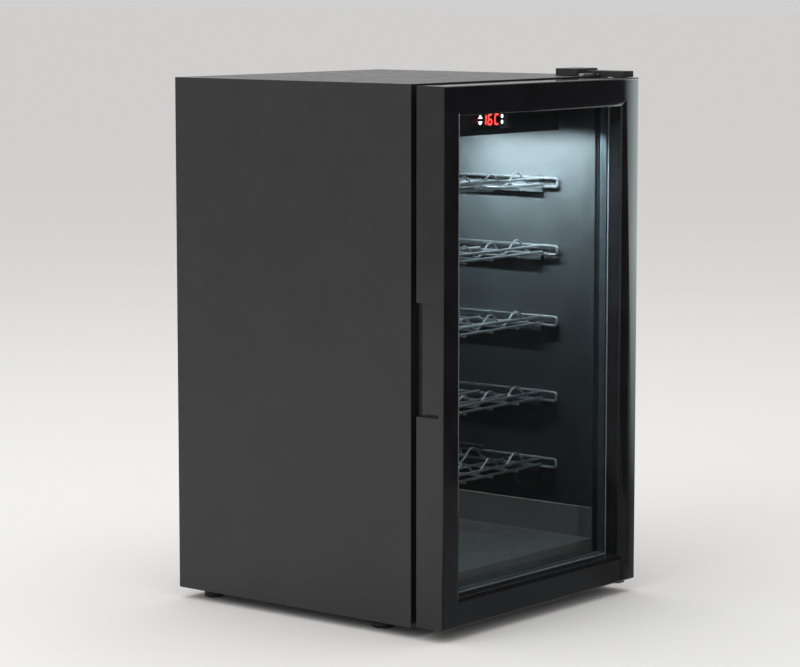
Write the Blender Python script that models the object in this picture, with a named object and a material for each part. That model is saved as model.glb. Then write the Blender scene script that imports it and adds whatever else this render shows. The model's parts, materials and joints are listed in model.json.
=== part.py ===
"""Free-standing wine cooler: a hinged glass door, five sliding wire shelves and a compressor system.

Units are metres. X is the width, Y the depth with the door at -Y, and the feet stand on Z = 0.
"""

import math

import bmesh
import bpy
from mathutils import Matrix, Vector

# ---- overall size -------------------------------------------------------------------------------
WIDTH = 0.445
DEPTH = 0.505
HEIGHT = 0.745
HALF = WIDTH / 2
FRONT = -DEPTH / 2
REAR = DEPTH / 2
FIT = 0.0003                        # gap left between two pieces that touch

# ---- cabinet ------------------------------------------------------------------------------------
SHEET = 0.001                       # painted steel sheet
LINER = 0.0015                      # moulded inner liner
WALL = 0.035                        # insulated wall, outside to inside
FOOT_HEIGHT = 0.015
HINGE_RISE = 0.010                  # hinge cover above the cabinet top
TOP = HEIGHT - HINGE_RISE
DOOR_DEPTH = 0.045
SEAL_DEPTH = 0.009
DOOR_BACK = FRONT + DOOR_DEPTH
BODY_FRONT = DOOR_BACK + SEAL_DEPTH
BODY_BACK = REAR - 0.031            # the condenser stands off behind this
RETURN = 0.016                      # front edge of the shell, folded inwards
INSIDE = HALF - SHEET - FIT         # half width left inside the shell
PAN_RISE = 0.0185                   # height of the base pan's folded edge
PAN_TOP = FOOT_HEIGHT + PAN_RISE
PAN_FLOOR = FOOT_HEIGHT + SHEET
FOOT_X = 0.185
FOOT_Y = -0.120
REAR_FOOT_Y = 0.190
SLOT_LOW = (0.034, 0.184)           # corners, in X and Y, of the hole for the two cold tubes
SLOT_HIGH = (0.060, 0.200)

# ---- interior -----------------------------------------------------------------------------------
INNER_HALF = HALF - WALL
CEILING = TOP - WALL
FLOOR = FOOT_HEIGHT + 0.060
INNER_BACK = BODY_BACK - 0.0465
BAY_FRONT = 0.075                   # compressor bay, at the bottom of the back
BAY_TOP = 0.210
STEP_FRONT = BAY_FRONT - 0.032
STEP_TOP = BAY_TOP + WALL

# ---- shelves ------------------------------------------------------------------------------------
SHELF_LEVELS = [0.576, 0.479, 0.377, 0.268, 0.171]
SHELF_FRONT = -0.137
SHELF_REAR = 0.125
LOW_SHELF_REAR = 0.036              # the lowest shelf stops at the compressor step
SHELF_HALF = 0.183                  # centre of the side wires
WIRE = 0.002
THIN_WIRE = 0.0015
RAIL_RISE = 0.012                   # upper side wire above the lower one
RAIL_CORNER = 0.0035
CROSS_IN = 0.026                    # front cross wire, behind the side wires' front ends
CROSS_PITCH = 0.062
CROSS_RISE = 0.0025
REAR_IN = 0.010
CRADLES = 6                         # bottle cradles across a shelf
CRADLE_LOW = 0.0015
CRADLE_HIGH = 0.020
FRONT_CRADLE = 0.050                # cradle wires, in from the front and from the rear
REAR_CRADLE = 0.045
LEDGE_OUT = 0.008
LEDGE_RISE = 0.006
LEDGE_FRONT = -0.111
LEDGE_REAR = 0.150
GUARD_LENGTH = 0.045                # short rib over the rear end of each side wire
GUARD_RISE = 0.004

# ---- door ---------------------------------------------------------------------------------------
DOOR_LOW = FOOT_HEIGHT + 0.0025
DOOR_HIGH = TOP - 0.002
FACE = 0.031                        # flat front face of the frame
CHAMFER = 0.008
CHAMFER_DEPTH = 0.004
OPENING = FACE + CHAMFER
EDGE_RADIUS = 0.003
RECESS = 0.0245                     # front face to glass
REBATE = 0.033                      # frame edge to glass edge
CAP = 0.014                         # outer wall that hides the inner frame
GLASS = 0.0035
SPACER_IN = OPENING + 0.002
GLASS_FRONT = FRONT + RECESS
INNER_FRAME_FRONT = GLASS_FRONT + 0.009
LIP = 0.041                         # inner frame's reach over the glass
LIP_DEPTH = 0.0014
GRIP_LOW = 0.300
GRIP_HIGH = 0.450
GRIP_IN = 0.012
GRIP_LIP = 0.008

# ---- hinges -------------------------------------------------------------------------------------
HINGE_X = HALF - 0.014
HINGE_Y = FRONT + 0.0225
PIN = 0.0035
BUSH = 0.006
BUSH_LENGTH = 0.018
FLANGE = 0.008
HINGE_SHEET = 0.003

# ---- fan and control box ------------------------------------------------------------------------
SKIN = 0.0018                       # moulded plastic housings
FAN_Z = 0.500
FAN_COVER_HALF = 0.105
FAN_COVER_DEPTH = 0.028
FAN_COVER_LOW = 0.360
FAN_COVER_HIGH = 0.605
GRILLE_OPENINGS = 8
GRILLE_BAR = 8                      # degrees between two openings of the grille
INTAKE_SLOTS = 6
INTAKE_PITCH = 0.025
INTAKE_LOW = 0.375
INTAKE_HIGH = 0.425
FAN_BLADES = 7
FAN_RADIUS = 0.040
HUB_RADIUS = 0.012
BLADE_TWIST = 32
CONTROL_HALF = 0.140
CONTROL_FRONT = -0.170
CONTROL_BACK = -0.055
CONTROL_LOW = 0.660
WINDOW_X = -0.018
WINDOW_HALF = 0.042
WINDOW_LOW = 0.668
WINDOW_HIGH = 0.690
LENS_HALF = 0.120
LENS_FRONT = -0.105
LENS_BACK = -0.081
LENS_OUT = 0.0015
BOARD_HALF = 0.090
BOARD = 0.0016

# ---- compressor system --------------------------------------------------------------------------
COMPRESSOR_X = -0.055
COMPRESSOR_Y = 0.148
COMPRESSOR_RADIUS = 0.060
SEAM_RADIUS = 0.063
PLATE_LOW = PAN_FLOOR + 0.012
PLATE_HALF_X = 0.098
PLATE_HALF_Y = 0.062
PLATE = 0.0025
GROMMET_IN = 0.012                  # grommets, in from the edges of the base plate
TERMINAL_LOW = 0.055
TERMINAL_HIGH = 0.0975
TRAY_LOW = (-0.122, 0.098, 0.1775)
TRAY_HIGH = (0.010, 0.203, 0.197)
TRAY_SKIN = 0.0015
DRIER_X = 0.100
SUCTION_X = 0.043
CAPILLARY_X = 0.055
COLD_TUBES_Y = 0.190
CONDENSER_Y = 0.2365
CONDENSER_HALF = 0.160
CONDENSER_LOW = 0.245
CONDENSER_HIGH = 0.690
CONDENSER_PASSES = 12
CONDENSER_TUBE = 0.0024
WIRE_PITCH = 0.021                  # upright wires of the condenser
WIRE_BAYS = 14
CONDENSER_WIRE = 0.0015
RISER_X = -0.186                    # gas line that climbs beside the condenser
EVAPORATOR_HALF = 0.140
EVAPORATOR_LOW = 0.300
EVAPORATOR_HIGH = 0.640
EVAPORATOR_BACK = INNER_BACK + LINER + FIT + 0.0018
POCKET_GAP = 0.005                  # room left round the evaporator in the foam

# ---- looks: base colour, roughness, metallic ----------------------------------------------------
GLOSS_BLACK = ((0.010, 0.010, 0.012), 0.12, 0.0)
SATIN_BLACK = ((0.020, 0.020, 0.022), 0.45, 0.0)
BLACK_PAINT = ((0.015, 0.015, 0.016), 0.35, 0.2)
LINER_BLACK = ((0.030, 0.031, 0.034), 0.50, 0.0)
ZINC_STEEL = ((0.55, 0.56, 0.58), 0.35, 1.0)
CHROME_WIRE = ((0.62, 0.64, 0.66), 0.20, 1.0)
COPPER = ((0.72, 0.38, 0.22), 0.30, 1.0)
ALUMINIUM = ((0.60, 0.63, 0.66), 0.40, 1.0)
RUBBER = ((0.018, 0.018, 0.018), 0.80, 0.0)
FOAM = ((0.80, 0.72, 0.48), 0.90, 0.0)
GREEN_BOARD = ((0.02, 0.16, 0.06), 0.50, 0.0)
TINTED_GLASS = ((0.20, 0.24, 0.25), 0.03, 0.0)
SMOKED_WINDOW = ((0.005, 0.005, 0.006), 0.08, 0.0)
DIFFUSER = ((0.85, 0.92, 1.0), 0.40, 0.0)
NYLON = ((0.80, 0.80, 0.76), 0.45, 0.0)


# ---- tools --------------------------------------------------------------------------------------
def clear_scene():
    """Start from nothing."""
    for thing in list(bpy.data.objects):
        bpy.data.objects.remove(thing, do_unlink=True)


def finish(thing, look):
    """Give an object a material of its own."""
    colour, roughness, metallic = look
    material = bpy.data.materials.new(thing.name)
    material.use_nodes = True
    shader = material.node_tree.nodes["Principled BSDF"]
    shader.inputs["Base Color"].default_value = (*colour, 1.0)
    shader.inputs["Roughness"].default_value = roughness
    shader.inputs["Metallic"].default_value = metallic
    thing.data.materials.clear()
    thing.data.materials.append(material)


def add(name, shape, look, location=(0, 0, 0)):
    """Turn a bmesh into a named object; a look of None is for a helper that gets joined or cut away."""
    bmesh.ops.recalc_face_normals(shape, faces=shape.faces)
    mesh = bpy.data.meshes.new(name)
    shape.to_mesh(mesh)
    shape.free()
    thing = bpy.data.objects.new(name, mesh)
    thing.location = location
    bpy.context.collection.objects.link(thing)
    if look:
        finish(thing, look)
    return thing


def combine(thing, others, operation):
    """Join other objects to this one, or cut them from it, and drop them."""
    for other in others:
        modifier = thing.modifiers.new(operation, "BOOLEAN")
        modifier.operation = operation
        modifier.solver = "EXACT"
        modifier.object = other
    graph = bpy.context.evaluated_depsgraph_get()
    result = bpy.data.meshes.new_from_object(thing.evaluated_get(graph))
    thing.modifiers.clear()
    thing.data = result
    for other in others:
        bpy.data.objects.remove(other, do_unlink=True)
    return thing


def cut(thing, others):
    return combine(thing, others, "DIFFERENCE")


def join(thing, others):
    return combine(thing, others, "UNION")


def smooth(thing, angle=35):
    thing.data.shade_smooth()
    thing.data.set_sharp_from_angle(angle=math.radians(angle))
    return thing


def soften(thing, width, segments=1):
    """Break the sharp edges."""
    modifier = thing.modifiers.new("soft_edges", "BEVEL")
    modifier.width = width
    modifier.segments = segments
    modifier.limit_method = "ANGLE"
    modifier.angle_limit = math.radians(50)
    return thing


def box(name, low, high, look=None):
    """A block between two corners, with its origin in the middle."""
    low = Vector(low)
    high = Vector(high)
    shape = bmesh.new()
    bmesh.ops.create_cube(shape, size=1.0)
    bmesh.ops.scale(shape, vec=high - low, verts=shape.verts)
    return add(name, shape, look, (low + high) / 2)


def across(name, outline, half, look=None):
    """An outline of (y, z) points, extruded along X to both sides."""
    shape = bmesh.new()
    face = shape.faces.new([shape.verts.new((-half, y, z)) for y, z in outline])
    sides = bmesh.ops.extrude_face_region(shape, geom=[face])
    moved = [item for item in sides["geom"] if isinstance(item, bmesh.types.BMVert)]
    bmesh.ops.translate(shape, vec=(2 * half, 0, 0), verts=moved)
    return add(name, shape, look)


def upright(name, outline, low, high, look=None):
    """An outline of (x, y) points, extruded along Z."""
    shape = bmesh.new()
    face = shape.faces.new([shape.verts.new((x, y, low)) for x, y in outline])
    sides = bmesh.ops.extrude_face_region(shape, geom=[face])
    moved = [item for item in sides["geom"] if isinstance(item, bmesh.types.BMVert)]
    bmesh.ops.translate(shape, vec=(0, 0, high - low), verts=moved)
    return add(name, shape, look)


def turned(name, profile, look, location, sides=16, axis="Z"):
    """A profile of (radius, height) points, turned about an axis through the location."""
    shape = bmesh.new()
    rings = []
    for radius, height in profile:
        if radius == 0:
            rings.append([shape.verts.new((0, 0, height))])
            continue
        steps = [2 * math.pi * step / sides for step in range(sides)]
        rings.append([shape.verts.new((radius * math.cos(a), radius * math.sin(a), height)) for a in steps])
    closed = profile[0][0] > 0
    pairs = list(zip(rings, rings[1:]))
    if closed:
        pairs.append((rings[-1], rings[0]))
    for lower, upper in pairs:
        for step in range(sides):
            after = (step + 1) % sides
            corners = [lower[step % len(lower)], lower[after % len(lower)]]
            corners += [upper[after % len(upper)], upper[step % len(upper)]]
            shape.faces.new(list(dict.fromkeys(corners)))
    if axis == "Y":
        bmesh.ops.rotate(shape, matrix=Matrix.Rotation(-math.pi / 2, 3, "X"), verts=shape.verts)
    return smooth(add(name, shape, look, location))


def rod(name, radius, low, high, x, y, look=None, sides=16):
    """An upright cylinder."""
    profile = [(0, low), (radius, low), (radius, high), (0, high)]
    return turned(name, profile, look, (x, y, 0), sides)


def tube(name, path, radius, look=None, sides=6, loop=False):
    """A round tube along a path of points; a loop closes on itself."""
    points = [Vector(point) for point in path]
    count = len(points)
    directions = []
    for index in range(count):
        before = points[index - 1] if loop or index > 0 else points[index]
        after = points[(index + 1) % count] if loop or index < count - 1 else points[index]
        directions.append((after - before).normalized())
    side = directions[0].orthogonal().normalized()
    shape = bmesh.new()
    rings = []
    for point, direction in zip(points, directions):
        side = (side - direction * side.dot(direction)).normalized()
        other = direction.cross(side)
        ring = []
        for step in range(sides):
            angle = 2 * math.pi * (step + 0.5) / sides
            ring.append(shape.verts.new(point + radius * (math.cos(angle) * side + math.sin(angle) * other)))
        rings.append(ring)
    pairs = list(zip(rings, rings[1:]))
    if loop:
        pairs.append((rings[-1], rings[0]))
    else:
        shape.faces.new(rings[0])
        shape.faces.new(rings[-1])
    for ring, following in pairs:
        for step in range(sides):
            after = (step + 1) % sides
            shape.faces.new([ring[step], ring[after], following[after], following[step]])
    return smooth(add(name, shape, look), 50)


def bend(path, radius, steps=4):
    """Round the inner corners of a path."""
    points = [Vector(point) for point in path]
    rounded = [points[0]]
    for before, corner, after in zip(points, points[1:], points[2:]):
        start = corner + (before - corner).normalized() * radius
        end = corner + (after - corner).normalized() * radius
        for step in range(steps + 1):
            t = step / steps
            rounded.append((1 - t) ** 2 * start + 2 * t * (1 - t) * corner + t ** 2 * end)
    rounded.append(points[-1])
    return rounded


def arc(centre, radius, start, end, steps):
    """Points on an arc in a plane, from one angle in degrees to another."""
    angles = [math.radians(start + (end - start) * step / steps) for step in range(steps + 1)]
    return [(centre[0] + radius * math.cos(a), centre[1] + radius * math.sin(a)) for a in angles]


def door_ring(name, profile, look):
    """A four-sided mitred frame: a profile of (distance in from the door's edge, y) points."""
    shape = bmesh.new()
    corners = [(-1, 0), (1, 0), (1, 1), (-1, 1)]
    rings = []
    for side, top in corners:
        ring = []
        for inset, y in profile:
            z = DOOR_HIGH - inset if top else DOOR_LOW + inset
            ring.append(shape.verts.new((side * (HALF - inset), y, z)))
        rings.append(ring)
    for index, ring in enumerate(rings):
        following = rings[(index + 1) % len(rings)]
        for step in range(len(profile)):
            after = (step + 1) % len(profile)
            shape.faces.new([ring[step], ring[after], following[after], following[step]])
    return add(name, shape, look)


def pivot(name, location, things):
    """An empty on a joint's axis, with the moving pieces hung on it where they stand."""
    empty = bpy.data.objects.new(name, None)
    empty.location = location
    bpy.context.collection.objects.link(empty)
    for thing in things:
        thing.parent = empty
        thing.matrix_parent_inverse = Matrix.Translation(location).inverted()


# ---- cabinet ------------------------------------------------------------------------------------
def make_outer_shell():
    """Painted steel wrapper: both sides, the top, and a front edge folded inwards."""
    low = FOOT_HEIGHT + 0.0005
    shell = box("outer_shell", (-HALF, BODY_FRONT, low), (HALF, BODY_BACK, TOP), BLACK_PAINT)
    room = HALF - SHEET
    inside = box("inside", (-room, BODY_FRONT + SHEET, 0), (room, BODY_BACK + SHEET, TOP - SHEET))
    mouth_half = HALF - RETURN
    mouth = box("mouth", (-mouth_half, FRONT, 0), (mouth_half, 0, TOP - RETURN))
    cut(shell, [inside, mouth])


def make_rear_panels():
    """Flat sheet behind the insulation, and the bent sheet that roofs the compressor bay."""
    inside = BODY_BACK - SHEET
    box("rear_panel", (-INSIDE, inside, BAY_TOP - SHEET), (INSIDE, BODY_BACK, TOP - SHEET - FIT), ZINC_STEEL)
    bend_line = BAY_FRONT + SHEET
    roof = BAY_TOP - SHEET
    foot = PAN_FLOOR + FIT
    outline = [(BAY_FRONT, foot), (bend_line, foot), (bend_line, roof), (inside - FIT, roof)]
    outline += [(inside - FIT, BAY_TOP), (BAY_FRONT, BAY_TOP)]
    panel = across("machine_bay_panel", outline, INSIDE - SHEET - FIT, ZINC_STEEL)
    cut(panel, [tube_slot("slot", BAY_TOP - 0.01, BAY_TOP + 0.01)])


def tube_slot(name, low, high):
    """The hole by which the two cold tubes leave the compressor bay."""
    return box(name, (*SLOT_LOW, low), (*SLOT_HIGH, high))


def make_base_pan():
    """Shallow folded tray that carries the feet, the hinge and the compressor."""
    front = BODY_FRONT + SHEET + FIT
    back = BODY_BACK - FIT
    pan = box("base_pan", (-INSIDE, front, FOOT_HEIGHT), (INSIDE, back, PAN_TOP), BLACK_PAINT)
    room = INSIDE - SHEET
    hollow = box("hollow", (-room, front + SHEET, PAN_FLOOR), (room, back - SHEET, PAN_TOP + SHEET))
    holes = [rod("hole", 0.0044, 0, PAN_TOP, x, FOOT_Y) for x in (-FOOT_X, FOOT_X)]
    cut(pan, [hollow] + holes)


def liner_outline(grow, front):
    """The inside of the cabinet, seen from the side, grown outwards by a thickness."""
    return [
        (front, FLOOR - grow),
        (STEP_FRONT + grow, FLOOR - grow),
        (STEP_FRONT + grow, STEP_TOP - grow),
        (INNER_BACK + grow, STEP_TOP - grow),
        (INNER_BACK + grow, CEILING + grow),
        (front, CEILING + grow),
    ]


def shelf_ledges():
    """Moulded ribs: a long one under each side wire and a short guard over its rear end."""
    ribs = []
    for level in SHELF_LEVELS:
        rear = STEP_FRONT - 0.003 if level < STEP_TOP else LEDGE_REAR
        under = level - WIRE - FIT
        over = level + RAIL_RISE + WIRE + 0.0015
        for side in (-1, 1):
            left, right = sorted((side * (INNER_HALF + LINER / 2), side * (INNER_HALF - LEDGE_OUT)))
            ribs.append(box("rib", (left, LEDGE_FRONT, under - LEDGE_RISE), (right, rear, under)))
            ribs.append(box("rib", (left, rear - GUARD_LENGTH, over), (right, rear, over + GUARD_RISE)))
    return ribs


def make_inner_liner():
    """Black moulded tub with a front flange, a step over the compressor and shelf ledges."""
    flange_half = HALF - RETURN - FIT
    low = (-flange_half, BODY_FRONT, PAN_TOP + 0.0005)
    high = (flange_half, BODY_FRONT + LINER, TOP - RETURN - FIT)
    liner = box("inner_liner", low, high, LINER_BLACK)
    tub = across("tub", liner_outline(LINER, BODY_FRONT), INNER_HALF + LINER)
    join(liner, [tub])
    cut(liner, [across("room", liner_outline(0, FRONT), INNER_HALF)])
    join(liner, shelf_ledges())
    finish(liner, LINER_BLACK)


def make_insulation():
    """Foam between the shell and the liner, with a pocket for the evaporator plate."""
    front = BODY_FRONT + LINER + FIT
    back = BODY_BACK - SHEET - FIT
    low = PAN_TOP + 0.0005
    step = BAY_FRONT - FIT
    outline = [(front, low), (step, low), (step, BAY_TOP + FIT), (back, BAY_TOP + FIT)]
    outline += [(back, TOP - SHEET - FIT), (front, TOP - SHEET - FIT)]
    foam = across("foam_insulation", outline, INSIDE, FOAM)
    room = across("room", liner_outline(LINER + FIT, FRONT), INNER_HALF + LINER + FIT)
    pocket_half = EVAPORATOR_HALF + POCKET_GAP
    pocket_low = (-pocket_half, INNER_BACK, EVAPORATOR_LOW - POCKET_GAP)
    pocket_high = (pocket_half, EVAPORATOR_BACK + FIT, EVAPORATOR_HIGH + POCKET_GAP)
    pocket = box("pocket", pocket_low, pocket_high)
    channel = tube_slot("channel", BAY_TOP - 0.01, EVAPORATOR_LOW + 0.01)
    channel.location.y -= 0.006
    lower = tube_slot("lower_channel", BAY_TOP - 0.01, EVAPORATOR_LOW - 0.02)
    cut(foam, [room, pocket, channel, lower])


def make_evaporator():
    front = INNER_BACK + LINER + FIT
    low = (-EVAPORATOR_HALF, front, EVAPORATOR_LOW)
    box("evaporator_plate", low, (EVAPORATOR_HALF, EVAPORATOR_BACK, EVAPORATOR_HIGH), ALUMINIUM)


# ---- feet ---------------------------------------------------------------------------------------
def make_feet():
    """Two screw-in levelling feet in front, two fixed pads behind."""
    screw_foot = [(0, 0), (0.014, 0), (0.016, 0.002), (0.016, 0.008), (0.009, 0.0095), (0.009, 0.0135)]
    screw_foot += [(0.0040, 0.0135), (0.0040, 0.028), (0, 0.028)]
    pad = [(0, 0), (0.013, 0), (0.014, 0.0015), (0.014, FOOT_HEIGHT - FIT), (0, FOOT_HEIGHT - FIT)]
    for side, x in (("left", -FOOT_X), ("right", FOOT_X)):
        foot = turned(f"front_foot_{side}", screw_foot, SATIN_BLACK, (x, FOOT_Y, 0))
        pivot(f"{side}_foot_axis", (x, FOOT_Y, 0), [foot])
        turned(f"rear_foot_{side}", pad, RUBBER, (x, REAR_FOOT_Y, 0))


# ---- control box --------------------------------------------------------------------------------
def make_control_box():
    """Housing under the ceiling with a display window in front and a lamp lens below."""
    high = CEILING - FIT
    low = (-CONTROL_HALF, CONTROL_FRONT, CONTROL_LOW)
    housing = box("control_box", low, (CONTROL_HALF, CONTROL_BACK, high), SATIN_BLACK)
    room = CONTROL_HALF - SKIN
    cavity_low = (-room, CONTROL_FRONT + SKIN, CONTROL_LOW + SKIN)
    cavity = box("cavity", cavity_low, (room, CONTROL_BACK - SKIN, high + SKIN))
    left, right = WINDOW_X - WINDOW_HALF, WINDOW_X + WINDOW_HALF
    window_hole = box("window_hole", (left, FRONT, WINDOW_LOW), (right, CONTROL_FRONT + 2 * SKIN, WINDOW_HIGH))
    lens_hole = box("lens_hole", (-LENS_HALF, LENS_FRONT, 0), (LENS_HALF, LENS_BACK, CONTROL_LOW + 2 * SKIN))
    cut(housing, [cavity, window_hole, lens_hole])
    box("display_window", (left + FIT, CONTROL_FRONT + FIT, WINDOW_LOW + FIT),
        (right - FIT, CONTROL_FRONT + SKIN, WINDOW_HIGH - FIT), SMOKED_WINDOW)
    box("lamp_lens", (FIT - LENS_HALF, LENS_FRONT + FIT, CONTROL_LOW - LENS_OUT),
        (LENS_HALF - FIT, LENS_BACK - FIT, CONTROL_LOW + SKIN), DIFFUSER)
    board_low = (-BOARD_HALF, CONTROL_FRONT + 0.012, CONTROL_LOW + 0.012)
    box("control_board", board_low, (BOARD_HALF, CONTROL_BACK - 0.012, board_low[2] + BOARD), GREEN_BOARD)


# ---- fan and sensor -----------------------------------------------------------------------------
def sector(inner, outer, start, end, front, back):
    """A slice of a ring in the XZ plane, to cut one opening of the fan grille."""
    outline = arc((0, FAN_Z), outer, start, end, 3) + arc((0, FAN_Z), inner, end, start, 2)
    shape = bmesh.new()
    face = shape.faces.new([shape.verts.new((x, front, z)) for x, z in outline])
    sides = bmesh.ops.extrude_face_region(shape, geom=[face])
    moved = [item for item in sides["geom"] if isinstance(item, bmesh.types.BMVert)]
    bmesh.ops.translate(shape, vec=(0, back - front, 0), verts=moved)
    return add("sector", shape, None)


def make_fan_cover():
    """Air duct cover on the rear wall, with a round grille and a row of intake slots."""
    half = FAN_COVER_HALF
    front = INNER_BACK - FAN_COVER_DEPTH
    high = (half, INNER_BACK - FIT, FAN_COVER_HIGH)
    cover = box("fan_cover", (-half, front, FAN_COVER_LOW), high, SATIN_BLACK)
    cavity_low = (SKIN - half, front + SKIN, FAN_COVER_LOW + SKIN)
    cavity = box("cavity", cavity_low, (half - SKIN, INNER_BACK, FAN_COVER_HIGH - SKIN))
    openings = []
    step = 360 / GRILLE_OPENINGS
    for index in range(GRILLE_OPENINGS):
        start = step * index + GRILLE_BAR / 2
        end = start + step - GRILLE_BAR
        openings.append(sector(HUB_RADIUS + 0.004, FAN_RADIUS + 0.003, start, end, front - 0.01, front + 0.01))
    for index in range(INTAKE_SLOTS):
        x = INTAKE_PITCH * (index - (INTAKE_SLOTS - 1) / 2)
        slot_low = (x - 0.003, front - 0.01, INTAKE_LOW)
        openings.append(box("intake", slot_low, (x + 0.003, front + 0.01, INTAKE_HIGH)))
    cut(cover, [cavity] + openings)


def make_fan():
    """Small motor on the rear wall, and the rotor on its shaft."""
    back = INNER_BACK - FIT
    face = back - 0.009
    shaft_end = face - 0.013
    profile = [(0, back), (0.013, back), (0.013, face), (0.0015, face), (0.0015, shaft_end), (0, shaft_end)]
    turned("fan_motor", profile, SATIN_BLACK, (0, 0, FAN_Z), axis="Y")
    hub_back = face - 0.001
    hub_front = hub_back - 0.011
    bore = 0.0018
    hub = [(bore, hub_front), (HUB_RADIUS, hub_front), (HUB_RADIUS, hub_back), (bore, hub_back)]
    rotor = turned("fan_rotor", hub, SATIN_BLACK, (0, 0, FAN_Z), axis="Y")
    blades = []
    for index in range(FAN_BLADES):
        blade = box("blade", (-0.008, -0.0006, HUB_RADIUS - 0.002), (0.008, 0.0006, FAN_RADIUS))
        blade.data.transform(Matrix.Translation(blade.location))
        blade.data.transform(Matrix.Rotation(math.radians(BLADE_TWIST), 4, "Z"))
        blade.data.transform(Matrix.Rotation(2 * math.pi * index / FAN_BLADES, 4, "Y"))
        blade.location = (0, (hub_front + hub_back) / 2, FAN_Z)
        blades.append(blade)
    join(rotor, blades)
    finish(rotor, SATIN_BLACK)
    pivot("fan_axis", (0, hub_front, FAN_Z), [rotor])


def make_temperature_sensor():
    wall = -INNER_HALF + FIT
    sensor = box("temperature_sensor", (wall, 0.080, 0.512), (wall + 0.007, 0.100, 0.546), SATIN_BLACK)
    soften(sensor, 0.002, 2)


# ---- compressor bay -----------------------------------------------------------------------------
def make_compressor():
    """Welded steel pot on a base plate, four rubber grommets, and the terminal cover."""
    x, y = COMPRESSOR_X, COMPRESSOR_Y
    profile = [
        (0, PLATE_LOW + 0.001), (0.040, PLATE_LOW + 0.001), (0.055, PLATE_LOW + 0.016),
        (COMPRESSOR_RADIUS, PLATE_LOW + 0.034), (COMPRESSOR_RADIUS, 0.098), (SEAM_RADIUS, 0.099),
        (SEAM_RADIUS, 0.104), (COMPRESSOR_RADIUS, 0.105), (0.057, 0.135), (0.046, 0.160), (0.024, 0.172),
        (0, 0.174),
    ]
    pot = turned("compressor", profile, BLACK_PAINT, (x, y, 0), sides=20)
    plate_low = (x - PLATE_HALF_X, y - PLATE_HALF_Y, PLATE_LOW)
    join(pot, [box("plate", plate_low, (x + PLATE_HALF_X, y + PLATE_HALF_Y, PLATE_LOW + PLATE))])
    finish(pot, BLACK_PAINT)
    foot = PAN_FLOOR + FIT
    rubber = [(0, foot), (0.009, foot), (0.009, PAN_FLOOR + 0.004), (0.0075, PAN_FLOOR + 0.006)]
    rubber += [(0.009, PAN_FLOOR + 0.008), (0.009, PLATE_LOW - FIT), (0, PLATE_LOW - FIT)]
    corners = [(side, end) for side in (-1, 1) for end in (-1, 1)]
    for index, (side, end) in enumerate(corners, start=1):
        spot = (x + side * (PLATE_HALF_X - GROMMET_IN), y + end * (PLATE_HALF_Y - GROMMET_IN), 0)
        turned(f"compressor_grommet_{index}", rubber, RUBBER, spot, sides=12)
    cover_x = x + COMPRESSOR_RADIUS + 2 * FIT
    cover_low = (cover_x, y - 0.023, TERMINAL_LOW)
    cover = box("terminal_cover", cover_low, (cover_x + 0.024, y + 0.023, TERMINAL_HIGH), SATIN_BLACK)
    soften(cover, 0.003, 2)


def make_drip_tray():
    """Evaporation tray that sits over the warm compressor."""
    tray = box("drip_tray", TRAY_LOW, TRAY_HIGH, SATIN_BLACK)
    skin = Vector((TRAY_SKIN, TRAY_SKIN, TRAY_SKIN))
    room_high = Vector(TRAY_HIGH) - skin
    room_high.z = TRAY_HIGH[2] + TRAY_SKIN
    cut(tray, [box("hollow", Vector(TRAY_LOW) + skin, room_high)])


def make_filter_drier():
    profile = [(0, 0.052), (0.003, 0.052), (0.004, 0.060), (0.010, 0.072), (0.010, 0.140)]
    profile += [(0.004, 0.152), (0.003, 0.160), (0, 0.160)]
    turned("filter_drier", profile, COPPER, (DRIER_X, COMPRESSOR_Y, 0), sides=12)


def make_tubes():
    """Suction and capillary lines to the evaporator, and the hot gas line to the condenser."""
    end = EVAPORATOR_LOW - 0.003
    pot_right = COMPRESSOR_X + COMPRESSOR_RADIUS + FIT
    pot_left = COMPRESSOR_X - COMPRESSOR_RADIUS - FIT
    y = COMPRESSOR_Y
    riser_y = COLD_TUBES_Y
    suction = [(pot_right + 0.001, y, 0.122), (SUCTION_X - 0.001, y, 0.122)]
    suction += [(SUCTION_X, riser_y, 0.150), (SUCTION_X, riser_y, end)]
    tube("suction_tube", bend(suction, 0.014), 0.004, COPPER)
    capillary = [(DRIER_X, y, 0.0515), (DRIER_X, y, 0.035), (0.075, 0.185, 0.035), (0.068, 0.200, 0.170)]
    capillary += [(CAPILLARY_X, riser_y, 0.185), (CAPILLARY_X, riser_y, end)]
    tube("capillary_tube", bend(capillary, 0.008, 3), 0.0013, COPPER)
    gas = [(pot_left - 0.001, y, 0.085), (-0.150, y, 0.085), (RISER_X, 0.185, 0.085)]
    gas += [(RISER_X, CONDENSER_Y, 0.120), (RISER_X, CONDENSER_Y, CONDENSER_HIGH)]
    gas.append((-CONDENSER_HALF - FIT, CONDENSER_Y, CONDENSER_HIGH))
    tube("discharge_tube", bend(gas, 0.012), CONDENSER_TUBE, COPPER)


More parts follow.
